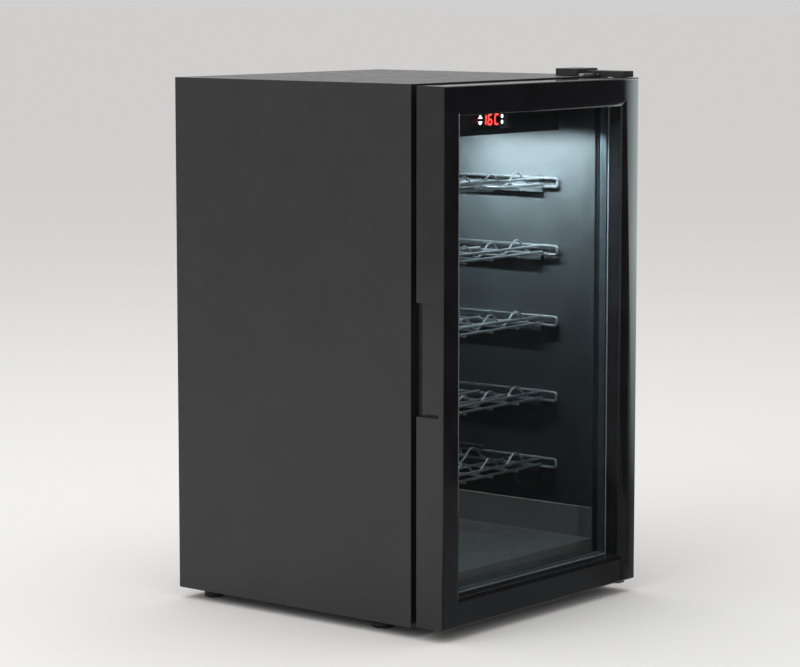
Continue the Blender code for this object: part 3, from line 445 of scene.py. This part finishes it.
def add_turned(shape, profile, centre, sides=48, axis="Z"):
    """A profile of (radius, height) points turned about an axis through a centre."""
    rings = []
    for radius, height in profile:
        if radius == 0:
            rings.append([shape.verts.new((0, 0, height))])
            continue
        angles = [2 * math.pi * step / sides for step in range(sides)]
        rings.append([shape.verts.new((radius * math.cos(a), radius * math.sin(a), height)) for a in angles])
    pairs = list(zip(rings, rings[1:]))
    if profile[0][0] > 0:
        pairs.append((rings[-1], rings[0]))
    for lower, upper in pairs:
        for step in range(sides):
            after = (step + 1) % sides
            corners = [lower[step % len(lower)], lower[after % len(lower)]]
            corners += [upper[after % len(upper)], upper[step % len(upper)]]
            shape.faces.new(list(dict.fromkeys(corners)))
    made = [vert for ring in rings for vert in ring]
    if axis == "Y":
        bmesh.ops.rotate(shape, matrix=Matrix.Rotation(-math.pi / 2, 3, "X"), verts=made)
    bmesh.ops.translate(shape, vec=centre, verts=made)


def add_wire(shape, path, radius, sides=10, loop=False):
    """A round wire with domed ends along a path, or a closed loop."""
    points = [Vector(point) for point in path]
    count = len(points)
    directions = []
    for index in range(count):
        before = points[index - 1] if loop or index > 0 else points[index]
        after = points[(index + 1) % count] if loop or index < count - 1 else points[index]
        directions.append((after - before).normalized())
    widths = [radius] * count
    if not loop:
        first, last = points[0], points[-1]
        points = [first, first + directions[0] * TIP_LENGTH * radius] + points[1:-1]
        points += [last - directions[-1] * TIP_LENGTH * radius, last]
        directions = [directions[0]] + directions[:-1] + [directions[-1], directions[-1]]
        widths = [TIP_WIDTH * radius] + [radius] * count + [TIP_WIDTH * radius]
    side = directions[0].orthogonal().normalized()
    rings = []
    for point, direction, width in zip(points, directions, widths):
        side = (side - direction * side.dot(direction)).normalized()
        other = direction.cross(side)
        angles = [2 * math.pi * step / sides for step in range(sides)]
        outward = [math.cos(a) * side + math.sin(a) * other for a in angles]
        rings.append([shape.verts.new(point + width * direct) for direct in outward])
    pairs = list(zip(rings, rings[1:]))
    if loop:
        pairs.append((rings[-1], rings[0]))
    else:
        shape.faces.new(rings[0])
        shape.faces.new(rings[-1])
    for ring, following in pairs:
        for step in range(sides):
            after = (step + 1) % sides
            shape.faces.new([ring[step], ring[after], following[after], following[step]])


def arc(centre, radius, start, end, steps):
    """Points on an arc in a plane, from one angle in degrees to another."""
    angles = [math.radians(start + (end - start) * step / steps) for step in range(steps + 1)]
    return [(centre[0] + radius * math.cos(a), centre[1] + radius * math.sin(a)) for a in angles]


def middle(node):
    low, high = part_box(node)
    return (low + high) / 2


# ---- shelves --------------------------------------------------------------------------------------
THICK_WIRE = 0.002
THIN_WIRE = 0.0015
RAIL_RISE = 0.012
RAIL_CORNER = 0.0035
CRADLES = 6
CROSS_IN = 0.026
REAR_IN = 0.010
CROSS_PITCH = 0.062                  # about this far between the straight cross wires
CROSS_RISE = 0.0028                  # their height over the rails' lower wires
WAVE_RISE = 0.0025                   # height of the waved wires' troughs
WAVE_FRONT_IN = 0.050
WAVE_REAR_IN = 0.045


def side_loop(x, front, rear, level):
    """Closed path of a side rail: a long flat loop with small round corners."""
    top = level + RAIL_RISE
    corners = [(front, level), (front, top), (rear, top), (rear, level)]
    path = []
    for (y, z), start in zip(corners, (270, 180, 90, 0)):
        inner_y = front + RAIL_CORNER if y == front else rear - RAIL_CORNER
        inner_z = level + RAIL_CORNER if z == level else top - RAIL_CORNER
        path += arc((inner_y, inner_z), RAIL_CORNER, start, start - 90, 6)
    return [(x, y, z) for y, z in path]


def make_shelf(node):
    """Welded wire shelf: hairpin side loops, straight cross wires and waved cradle wires."""
    low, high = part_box(node)
    half = high.x - THICK_WIRE
    front = low.y + THICK_WIRE
    rear = high.y - THICK_WIRE
    level = low.z + THICK_WIRE
    crest = high.z - THIN_WIRE
    shape = bmesh.new()
    for side in (-half, half):
        add_wire(shape, side_loop(side, front, rear, level), THICK_WIRE, loop=True)
    first = front + CROSS_IN
    last = rear - REAR_IN
    bays = max(2, round((last - first) / CROSS_PITCH))
    for index in range(bays + 1):
        y = first + (last - first) * index / bays
        add_wire(shape, [(-half, y, level + CROSS_RISE), (half, y, level + CROSS_RISE)], THICK_WIRE)
    add_wire(shape, [(-half, first, level + RAIL_RISE), (half, first, level + RAIL_RISE)], THICK_WIRE)
    for index in range(1, CRADLES):
        x = half * (2 * index / CRADLES - 1)
        add_wire(shape, [(x, first - 0.004, level), (x, last + 0.004, level)], THIN_WIRE)
    trough = level + WAVE_RISE
    for y in (front + WAVE_FRONT_IN, rear - WAVE_REAR_IN):
        steps = 16 * CRADLES
        wave = []
        for step in range(steps + 1):
            swing = 0.5 - 0.5 * math.cos(2 * math.pi * CRADLES * step / steps)
            wave.append((-half + 2 * half * step / steps, y, trough + (crest - trough) * swing))
        add_wire(shape, wave, THIN_WIRE)
    piece(f"{node}_wires", shape, "chromed_shelf_wire", node, [node])


# ---- display --------------------------------------------------------------------------------------
SEGMENTS = {"1": "bc", "6": "acdefg", "C": "adef"}
DIGIT_HEIGHT = 0.0130
DIGIT_WIDTH = 0.0075
STROKE = 0.0021
SKEW = 0.08                          # digits lean a little to the right
MARK = 0.0002                        # marks stand this proud of the window
MARK_REACH = 0.0245                  # from the display's middle to its arrows and dots
DISPLAY_RISE = 0.0016                # the signs sit this far above the window's middle
WINDOW_RIM = 0.0008                  # the window covers the gap round it by this much


def add_plate(shape, outline, y):
    """A thin plate in front of y, from an outline of (x, z) points."""
    front = [shape.verts.new((x, y - MARK, z)) for x, z in outline]
    back = [shape.verts.new((x, y, z)) for x, z in outline]
    shape.faces.new(front)
    shape.faces.new(back[::-1])
    for step in range(len(outline)):
        after = (step + 1) % len(outline)
        shape.faces.new([front[step], front[after], back[after], back[step]])


def add_bar(shape, start, end, y):
    """One lit bar of a digit: a pointed stroke from start to end."""
    start = Vector(start)
    end = Vector(end)
    tip = (end - start).normalized() * STROKE / 2
    across = Vector((-tip.y, tip.x))
    outline = [start, start + tip + across, end - tip + across]
    outline += [end, end - tip - across, start + tip - across]
    add_plate(shape, [(point.x, point.y) for point in outline], y)


def add_digit(shape, digit, left, middle_z, y):
    half = DIGIT_HEIGHT / 2
    corners = {
        "a": ((0, half), (DIGIT_WIDTH, half)),
        "b": ((DIGIT_WIDTH, half), (DIGIT_WIDTH, 0)),
        "c": ((DIGIT_WIDTH, 0), (DIGIT_WIDTH, -half)),
        "d": ((0, -half), (DIGIT_WIDTH, -half)),
        "e": ((0, 0), (0, -half)),
        "f": ((0, half), (0, 0)),
        "g": ((0, 0), (DIGIT_WIDTH, 0)),
    }
    for name in SEGMENTS[digit]:
        ends = [(left + x + SKEW * z, middle_z + z) for x, z in corners[name]]
        add_bar(shape, ends[0], ends[1], y)


def make_display():
    """Window with a thin rim over its gap, a red temperature, and white arrows and dots beside it."""
    low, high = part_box("display_window")
    face = low.y - 0.0001
    window = bmesh.new()
    rim_low = (low.x - WINDOW_RIM, low.y - WINDOW_RIM, low.z - WINDOW_RIM)
    rim_high = (high.x + WINDOW_RIM, face, high.z + WINDOW_RIM)
    add_soft_box(window, rim_low, rim_high, 0.0003, 3)
    add_box(window, (low.x, face, low.z), tuple(high))
    piece("display_window_fine", window, "smoked_display_window", "cabinet", ["display_window"])
    y = low.y - WINDOW_RIM - 0.00005
    centre = middle("display_window") + Vector((0, 0, DISPLAY_RISE))
    red = bmesh.new()
    for digit, offset in (("1", -0.0195), ("6", -0.0065), ("C", 0.0085)):
        add_digit(red, digit, centre.x + offset, centre.z, y)
    digits = piece("display_digits", red, "smoked_display_window", "cabinet")
    digits.data.materials[0] = glow("lit_digits", LED_RED, 7.0)
    white = bmesh.new()
    for direction in (1, -1):
        z = centre.z + direction * 0.0040
        x = centre.x - MARK_REACH
        tip = (x, z + direction * 0.0027)
        foot = z - direction * 0.0019
        add_plate(white, [(x - 0.0046, foot), tip, (x + 0.0046, foot)], y)
        dot = [(centre.x + MARK_REACH + px, z + pz) for px, pz in arc((0, 0), 0.0023, 0, 345, 23)]
        add_plate(white, dot, y)
    marks = piece("display_marks", white, "smoked_display_window", "cabinet")
    marks.data.materials[0] = glow("lit_marks", (1.0, 1.0, 1.0), 5.0)


# ---- turned pieces --------------------------------------------------------------------------------
THREAD_START = 0.0135                # height of the foot's collar, from which its thread rises
THREAD_CREST = 0.0040
THREAD_ROOT = 0.0034
THREAD_FLANK = 0.0005                # height that one side of a thread takes
THREAD_PITCH = 0.00125
KNURLS = 32
KNURL_DEPTH = 0.018                  # as a share of the foot's radius


def knurl(shape, centre, radius):
    """Press straight grooves into the rim of a turned foot."""
    for vert in shape.verts:
        spread = Vector((vert.co.x - centre.x, vert.co.y - centre.y))
        if spread.length > radius - 0.0001:
            turn = math.atan2(spread.y, spread.x)
            squeeze = 1 - KNURL_DEPTH * (math.cos(KNURLS * turn) < 0)
            vert.co.x = centre.x + spread.x * squeeze
            vert.co.y = centre.y + spread.y * squeeze


def make_front_foot(side):
    """Screw-in levelling foot with a knurled edge."""
    node = f"front_foot_{side}"
    low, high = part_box(node)
    centre = middle(node)
    radius = (high.x - low.x) / 2
    profile = [(0, 0), (radius - 0.003, 0), (radius - 0.0012, 0.0006), (radius, 0.0022),
               (radius, 0.0072), (radius - 0.0012, 0.0084), (0.0100, 0.0092), (0.0092, 0.0100),
               (0.0090, 0.0130), (0.0086, THREAD_START)]
    thread = THREAD_START
    while thread < high.z - 0.0015:
        profile += [(THREAD_CREST, thread), (THREAD_ROOT, thread + THREAD_FLANK),
                    (THREAD_CREST, thread + 2 * THREAD_FLANK)]
        thread += THREAD_PITCH
    profile += [(THREAD_ROOT, high.z - 0.0002), (0, high.z)]
    shape = bmesh.new()
    add_turned(shape, profile, (centre.x, centre.y, 0), 64)
    knurl(shape, centre, radius)
    piece(f"{node}_fine", shape, "satin_black_moulding", f"{side}_foot", [node])


def make_rear_foot(side):
    """Plain rubber pad."""
    node = f"rear_foot_{side}"
    low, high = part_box(node)
    centre = middle(node)
    radius = (high.x - low.x) / 2
    profile = [(0, 0), (radius - 0.003, 0), (radius - 0.0008, 0.0006), (radius, 0.002),
               (radius - 0.0005, 0.009), (radius - 0.0012, high.z - 0.001), (radius - 0.002, high.z),
               (0, high.z)]
    shape = bmesh.new()
    add_turned(shape, profile, (centre.x, centre.y, 0))
    piece(f"{node}_fine", shape, "rubber", "cabinet", [node])


def make_compressor():
    """Welded pot with a rounded dome, a rolled seam and a stamped base plate."""
    low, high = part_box("compressor")
    centre = middle("compressor")
    x, y = centre.x, centre.y
    seam = 0.1015
    shoulder = 0.118                 # the dome begins here
    radius = 0.060
    profile = [(0, low.z + 0.001)]
    profile += arc((0.038, low.z + 0.023), 0.022, -90, 0, 8)
    profile += [(radius, seam - 0.0045), (0.0626, seam - 0.003), (0.0630, seam - 0.0022),
                (0.0630, seam + 0.0016), (0.0624, seam + 0.0024), (radius, seam + 0.0034),
                (radius - 0.0008, 0.112)]
    dome = high.z - shoulder
    for step in range(1, 13):
        angle = math.radians(90 * step / 12)
        reach = (radius - 0.001) * math.cos(angle) ** 0.7
        profile.append((max(0.0, reach), shoulder + dome * math.sin(angle)))
    profile[-1] = (0, high.z)
    shape = bmesh.new()
    add_turned(shape, profile, (x, y, 0), 64)
    plate = add_box(shape, (low.x, low.y, low.z), (high.x, high.y, low.z + 0.0025))
    corners = [edge for edge in shape.edges if edge.verts[0] in plate and edge.verts[1] in plate
               and abs(edge.verts[0].co.z - edge.verts[1].co.z) > 0.002]
    bmesh.ops.bevel(shape, geom=corners, offset=0.012, segments=6, profile=0.5, affect="EDGES")
    for side in (-1, 1):
        add_box(shape, (x + side * 0.080 - 0.003, low.y + 0.010, low.z + 0.002),
                (x + side * 0.080 + 0.003, high.y - 0.010, low.z + 0.007))
    piece("compressor_pot", shape, "black_enamel_steel", "cabinet", ["compressor"])


def make_grommets():
    """Ribbed rubber buffers."""
    for index in range(1, 5):
        node = f"compressor_grommet_{index}"
        low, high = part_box(node)
        centre = middle(node)
        height = high.z - low.z
        profile = [(0, low.z), (0.0086, low.z), (0.0090, low.z + 0.0004)]
        for share in (0.28, 0.50, 0.72):
            profile += [(0.0090, low.z + height * (share - 0.08)), (0.0076, low.z + height * share),
                        (0.0090, low.z + height * (share + 0.08))]
        profile += [(0.0090, high.z - 0.0004), (0.0086, high.z), (0, high.z)]
        shape = bmesh.new()
        add_turned(shape, profile, (centre.x, centre.y, 0), 32)
        piece(f"{node}_fine", shape, "rubber", "cabinet", [node])


def make_drier():
    low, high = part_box("filter_drier")
    centre = middle("filter_drier")
    profile = [(0, low.z), (0.0030, low.z), (0.0034, low.z + 0.008), (0.0060, low.z + 0.014),
               (0.0094, low.z + 0.019), (0.0100, low.z + 0.023), (0.0100, low.z + 0.030),
               (0.0097, low.z + 0.031), (0.0100, low.z + 0.032), (0.0100, high.z - 0.023),
               (0.0094, high.z - 0.019), (0.0060, high.z - 0.014), (0.0034, high.z - 0.008),
               (0.0030, high.z), (0, high.z)]
    shape = bmesh.new()
    add_turned(shape, profile, (centre.x, centre.y, 0), 40)
    piece("filter_drier_fine", shape, "copper_tube", "cabinet", ["filter_drier"])


def make_condenser():
    """Round wires on both faces of the condenser tube, and turned stand-off clips."""
    low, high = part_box("condenser_wires")
    wire = 0.0007
    rear = low.y + wire
    front = rear - 2 * wire - 0.0048
    shape = bmesh.new()
    count = 44
    for index in range(count + 1):
        x = low.x + wire + (high.x - low.x - 2 * wire) * index / count
        for y in (rear, front):
            add_wire(shape, [(x, y, low.z), (x, y, high.z)], wire, 8)
    piece("condenser_wire_grid", shape, "black_enamel_steel", "cabinet", ["condenser_wires"])
    for index in range(1, 5):
        node = f"condenser_clip_{index}"
        clip_low, clip_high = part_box(node)
        centre = middle(node)
        length = clip_high.y - clip_low.y
        near, far = clip_low.y, clip_high.y
        profile = [(0, near), (0.0060, near), (0.0062, near + 0.0006), (0.0060, near + 0.0026),
                   (0.0040, near + 0.0036), (0.0037, near + length * 0.45), (0.0040, far - 0.0085),
                   (0.0066, far - 0.0076), (0.0070, far - 0.0066), (0.0070, far - 0.0016),
                   (0.0062, far - 0.0005), (0.0048, far), (0, far)]
        shape = bmesh.new()
        add_turned(shape, profile, (centre.x, 0, centre.z), 32, "Y")
        piece(f"{node}_fine", shape, "white_nylon", "cabinet", [node])


# ---- rear and inner details -----------------------------------------------------------------------
SCREW_RADIUS = 0.0040
SCREW_RIM = 0.0006                   # height of the head's straight rim
SCREW_DOME = 0.0016
RECESS_HALF_WIDTH = 0.0005
RECESS_REACH = 0.0024


def add_screw(shape, x, y, z):
    """Domed screw head that faces backwards, with a cross recess."""
    profile = [(0, y), (SCREW_RADIUS, y), (SCREW_RADIUS, y + SCREW_RIM)]
    for step in range(1, 15):
        share = 1 - step / 15
        profile.append((SCREW_RADIUS * share, y + SCREW_RIM + SCREW_DOME * (1 - share * share)))
    profile.append((0, y + SCREW_RIM + SCREW_DOME))
    known = set(shape.verts)
    add_turned(shape, profile, (x, 0, z), 48, "Y")
    for vert in shape.verts:
        if vert in known or vert.co.y < y + SCREW_RIM + 0.0001:
            continue
        across = abs(vert.co.x - x)
        up = abs(vert.co.z - z)
        if min(across, up) < RECESS_HALF_WIDTH and max(across, up) < RECESS_REACH:
            vert.co.y = y + SCREW_RIM + 0.0002


def make_rear_screws():
    """Sheet-metal screws round the edge of the rear panel."""
    low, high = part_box("rear_panel")
    edge = 0.009
    shape = bmesh.new()
    for x in (low.x + edge, high.x - edge):
        for share in (0.02, 0.35, 0.68, 0.98):
            add_screw(shape, x, high.y, low.z + share * (high.z - low.z))
    for x in (-0.07, 0.07):
        add_screw(shape, x, high.y, high.z - edge)
    piece("rear_panel_screws", shape, "zinc_plated_steel", "cabinet", smooth=25)


def make_inlet_pins():
    """The three flat pins of the mains inlet."""
    low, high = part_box("power_inlet")
    centre = middle("power_inlet")
    floor_z = low.z + 0.021
    shape = bmesh.new()
    for x, z in ((-0.0070, 0.0075), (0.0070, 0.0075), (0.0, 0.0135)):
        spot = Vector((centre.x + x, high.y - 0.0165, floor_z + z))
        pin_low = spot - Vector((0.0010, 0, 0.0020))
        add_soft_box(shape, pin_low, spot + Vector((0.0010, 0.0130, 0.0020)), 0.0004, 2)
    piece("power_inlet_pins", shape, "zinc_plated_steel", "cabinet")


def make_sensor():
    """Temperature sensor's cap on the side wall, with air slots between its ribs."""
    low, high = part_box("temperature_sensor")
    shape = bmesh.new()
    parts = [(Vector(low), Vector((low.x + 0.0042, high.y, high.z)), 0.0012)]
    ribs = 6
    pitch = (high.z - low.z - 0.005) / (ribs - 0.5)
    for index in range(ribs):
        z = low.z + 0.0025 + pitch * index
        rib_low = Vector((low.x + 0.0036, low.y + 0.0025, z))
        parts.append((rib_low, Vector((high.x, high.y - 0.0025, z + pitch / 2)), 0.0005))
    for part_low, part_high, width in parts:
        add_soft_box(shape, part_low, part_high, width, 3)
    piece("temperature_sensor_fine", shape, "satin_black_moulding", "cabinet", ["temperature_sensor"])


def make_board_lid():
    """Clip-on lid of the power board's box, with cooling ribs and two latches."""
    low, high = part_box("power_board_box")
    shape = bmesh.new()
    rear = high.y
    parts = [((low.x + 0.003, rear - 0.0005, low.z + 0.003), (high.x - 0.003, rear + 0.0020, high.z - 0.003))]
    for index in range(9):
        z = low.z + 0.022 + 0.007 * index
        parts.append(((low.x + 0.016, rear + 0.0015, z), (high.x - 0.016, rear + 0.0036, z + 0.0028)))
    for x in (low.x + 0.016, high.x - 0.026):
        parts.append(((x, rear + 0.0010, high.z - 0.013), (x + 0.010, rear + 0.0034, high.z - 0.002)))
    for part_low, part_high in parts:
        add_soft_box(shape, part_low, part_high, 0.0006, 2)
    piece("power_board_lid", shape, "satin_black_moulding", "cabinet")


def add_blade(shape, turn, centre, inner, outer, depth):
    """One cambered fan blade between two radii, wider and flatter towards its tip."""
    radial, chordal = 8, 8
    sheets = []
    for face in (-1, 1):
        rows = []
        for i in range(radial + 1):
            radius = inner + (outer - inner) * i / radial
            width = math.radians(34 - 6 * i / radial)
            row = []
            for j in range(chordal + 1):
                along = j / chordal - 0.5
                angle = turn + 2 * along * width * 0.72 + 0.10 * i / radial
                thick = 0.0006 * (1 - 3.2 * along * along)
                slope = along * (1 - 0.25 * i / radial) + 0.35 * (0.25 - along * along)
                y = centre.y + depth * slope + face * thick
                spot = (centre.x + radius * math.cos(angle), y, centre.z + radius * math.sin(angle))
                row.append(shape.verts.new(spot))
            rows.append(row)
        sheets.append(rows)
    for rows in sheets:
        for i in range(radial):
            for j in range(chordal):
                shape.faces.new([rows[i][j], rows[i][j + 1], rows[i + 1][j + 1], rows[i + 1][j]])
    rims = []
    for rows in sheets:
        rim = rows[0][:] + [row[-1] for row in rows[1:]]
        rim += rows[-1][-2::-1] + [row[0] for row in rows[-2:0:-1]]
        rims.append(rim)
    for step in range(len(rims[0])):
        after = (step + 1) % len(rims[0])
        shape.faces.new([rims[0][step], rims[0][after], rims[1][after], rims[1][step]])


def make_highlight_bead():
    """Thin bead where the outer pane meets the foot of the frame's opening; its pale grey is a painted
    highlight along the glass edge.
    """
    low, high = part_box("door_frame")
    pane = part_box("glass_outer")[0].y
    inset = 0.0392
    width = 0.0008
    shape = bmesh.new()
    rings = []
    for reach in (inset, inset + width):
        left, right = low.x + reach, high.x - reach
        bottom, top = low.z + reach, high.z - reach
        for y in (pane - 0.0011, pane - 0.0002):
            corners = ((left, bottom), (right, bottom), (right, top), (left, top))
            rings.append([shape.verts.new((x, y, z)) for x, z in corners])
    for first, second in ((0, 1), (1, 3), (3, 2), (2, 0)):
        for step in range(4):
            after = (step + 1) % 4
            corners = [rings[first][step], rings[first][after], rings[second][after], rings[second][step]]
            shape.faces.new(corners)
    bead = piece("glass_bead", shape, "aluminium", "door")
    # Pale grey paint on the bead: a painted highlight for the bright line at the glass edge.
    look = Look("painted_highlight_bead", IOR=1.45)
    look.colour(look.noise(0.01), (0.3, (0.17, 0.19, 0.20)), (0.7, (0.23, 0.25, 0.26)))
    look.rough(look.noise(0.003), 0.45, 0.6)
    look.bump(look.noise(0.002), 0.00002)
    bead.data.materials[0] = look.material


def make_hinge_skirt():
    """Short skirts that close the gap between the hinge cover's arm and the top of the door."""
    low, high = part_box("top_hinge_cover")
    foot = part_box("door_frame")[1].z + 0.0004
    top = low.z + 0.0006
    skin = 0.0012
    arm_left = middle("top_hinge_pin").x - 0.0135
    shape = bmesh.new()
    add_box(shape, (arm_left + 0.0003, low.y + 0.0001, foot), (high.x - 0.0001, low.y + skin, top))
    add_box(shape, (high.x - skin, low.y + 0.0001, foot), (high.x - 0.0001, low.y + 0.035, top))
    add_box(shape, (arm_left + 0.0001, low.y + 0.0003, foot), (arm_left + skin, low.y + 0.035, top))
    piece("hinge_cover_skirt", shape, "satin_black_moulding", "cabinet")


def make_rotor():
    """Fan rotor with a domed hub and seven cambered blades."""
    low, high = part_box("fan_rotor")
    centre = middle("fan_rotor")
    centre.z = middle("fan_motor").z         # seven blades leave the box's middle off the shaft
    outer = (high.z - low.z) / 2 - 0.0004
    hub = 0.012
    near, far = low.y, high.y
    profile = [(0.0018, near + 0.0006), (0.0030, near + 0.0002), (0.0090, near), (0.0108, near + 0.0006),
               (hub, near + 0.0024), (hub, far - 0.0003), (hub - 0.0003, far), (0.0018, far)]
    shape = bmesh.new()
    add_turned(shape, profile, (centre.x, 0, centre.z), 64, "Y")
    for index in range(7):
        add_blade(shape, 2 * math.pi * index / 7, centre, hub - 0.0010, outer, 0.0078)
    piece("fan_rotor_fine", shape, "satin_black_moulding", "fan", ["fan_rotor"], smooth=50)


# ---- studio ---------------------------------------------------------------------------------------
LAMP_POWER = 3.4                     # watts of each of the cooler's own lamps
LAMP_SIZE = (0.22, 0.012)
LAMP_SPREAD = 118.0                  # degrees


def floor_paint():
    """Matt pale paint with a faint relief."""
    look = Look("floor_paint", Base_Color=(0.86, 0.85, 0.835, 1), Roughness=0.6, Specular_IOR_Level=0.0)
    look.bump(look.noise(0.01), 0.0001)
    return look.material


def make_floor():
    """A wide pale floor."""
    shape = bmesh.new()
    bmesh.ops.create_grid(shape, x_segments=1, y_segments=1, size=60)
    floor = to_object("floor", shape, floor_paint())
    return floor


def make_card(name, low, high, grey, behind_glass=True):
    """A dark card that only shows in reflections, as studio flags do."""
    shape = bmesh.new()
    add_box(shape, low, high)
    look = Look(name, Base_Color=(grey, grey, grey, 1), Roughness=1.0)
    card = to_object(name, shape, look.material)
    card.visible_camera = False
    card.visible_diffuse = False
    card.visible_shadow = False
    card.visible_transmission = behind_glass
    return card, look


def make_pale_strip():
    """A lit strip beside the door that brightens the hinge stile's outer edge, less towards the floor."""
    low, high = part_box("door_frame")
    front = low.y
    reach = 0.036
    near_edge = (high.x + 0.016, front - reach, 0.0)
    far_edge = (high.x + 0.017, front, high.z)
    strip, look = make_card("pale_strip", near_edge, far_edge, 0.0, behind_glass=False)
    lit = bpy.data.collections.new("lit_by_strip")
    lit.objects.link(NODES["door_frame"])
    strip.light_linking.receiver_collection = lit
    parts = look.node("ShaderNodeSeparateXYZ", {"Vector": look.place}).outputs
    near = look.remap(parts["Y"], front - reach, front, 0.0, 1.0)
    upper = look.remap(parts["Z"], 0.14, 0.50, 0.08, 1.0)
    inputs = {0: near, 1: upper}
    light = look.node("ShaderNodeMath", inputs, operation="MULTIPLY").outputs[0]
    look.shader.inputs["Emission Color"].default_value = (0.62, 0.72, 0.70, 1)
    look.tree.links.new(look.remap(light, 0, 1, 0.0, 11.0), look.shader.inputs["Emission Strength"])


def make_world():
    """Soft grey surroundings, brighter overhead."""
    world = bpy.data.worlds.new("studio")
    bpy.context.scene.world = world
    world.use_nodes = True
    tree = world.node_tree
    place = tree.nodes.new("ShaderNodeTexCoord")
    split = tree.nodes.new("ShaderNodeSeparateXYZ")
    ramp = tree.nodes.new("ShaderNodeValToRGB")
    tree.links.new(place.outputs["Generated"], split.inputs["Vector"])
    tree.links.new(split.outputs["Z"], ramp.inputs["Fac"])
    tree.links.new(ramp.outputs["Color"], tree.nodes["Background"].inputs["Color"])
    ramp.color_ramp.elements[0].position = 0.0
    ramp.color_ramp.elements[0].color = (0.84, 0.84, 0.84, 1)
    ramp.color_ramp.elements[1].position = 0.7
    ramp.color_ramp.elements[1].color = (1.0, 1.0, 1.0, 1)
    tree.nodes["Background"].inputs["Strength"].default_value = 0.75


def add_light(name, place, aim, size, power, colour=(1, 1, 1)):
    data = bpy.data.lights.new(name, "AREA")
    data.shape = "RECTANGLE"
    data.size, data.size_y = size
    data.energy = power
    data.color = colour
    light = bpy.data.objects.new(name, data)
    light.location = place
    light.rotation_euler = (Vector(aim) - Vector(place)).to_track_quat("-Z", "Y").to_euler()
    bpy.context.scene.collection.objects.link(light)
    return light


def make_studio():
    make_world()
    add_light("key", (-3.0, 0.4, 2.6), (0, 0, 0.35), (2.4, 2.4), 34)
    add_light("overhead", (0.2, 0.3, 3.6), (0, 0, 0.3), (4.0, 4.0), 40)
    make_card("dark_wall", (0.70, -3.2, 0.004), (0.71, -0.53, 2.4), 0.012)
    make_card("dark_floor", (-0.6, -3.2, 0.002), (0.70, -0.27, 0.003), 0.13)
    make_pale_strip()


def make_lamps(floor):
    """The cooler's own two lamps at the ends of the lens, each shining down and at its side wall.

    Their light stays inside: the panes and the studio floor take none of it.
    """
    low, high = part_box("lamp_lens")
    centre = middle("lamp_lens")
    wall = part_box("shelf_1")[1].x
    unlit = bpy.data.collections.new("kept_dark")
    for thing in (floor, NODES["glass_outer"], NODES["glass_inner"]):
        unlit.objects.link(thing)
    for entry in unlit.collection_objects:
        entry.light_linking.link_state = "EXCLUDE"
    for side, name in ((-1, "left_lamp"), (1, "right_lamp")):
        place = (side * (high.x - 0.012), centre.y + 0.018, low.z - 0.0015)
        aim = (side * wall, centre.y + 0.022, low.z - 0.115)
        lamp = add_light(name, place, aim, LAMP_SIZE, LAMP_POWER, COOL_WHITE)
        lamp.visible_camera = False
        lamp.data.spread = math.radians(LAMP_SPREAD)
        lamp.light_linking.receiver_collection = unlit


# ---- build ----------------------------------------------------------------------------------------
dress_cad_nodes()
soften(["door_frame"], 0.0008)
soften(["door_inner_frame", "control_box", "top_hinge_cover"], 0.0006)
soften(["fan_cover", "drip_tray", "power_inlet"], 0.0006)
soften(["fan_motor", "top_hinge_pin", "bottom_hinge_pin", "door_bush_bottom", "door_bush_top"], 0.0003, 2)
soften(["outer_shell"], 0.0004)
soften(["inner_liner"], 0.0008)
soften(["top_hinge_plate", "bottom_hinge_plate", "rear_panel", "machine_bay_panel", "base_pan"], 0.0003, 2)
soften(["glass_outer", "glass_inner"], 0.0004, 2)
soften(["door_gasket", "lamp_lens"], 0.0004, 2)
round_tube(["condenser_tube", "discharge_tube", "suction_tube", "capillary_tube"])
for shelf in range(1, 6):
    make_shelf(f"shelf_{shelf}")
make_display()
for foot_side in ("left", "right"):
    make_front_foot(foot_side)
    make_rear_foot(foot_side)
make_compressor()
make_grommets()
make_drier()
make_condenser()
make_rear_screws()
make_inlet_pins()
make_board_lid()
make_sensor()
make_hinge_skirt()
make_rotor()
make_highlight_bead()
make_studio()
make_lamps(make_floor())
bpy.context.scene.view_settings.view_transform = "Standard"
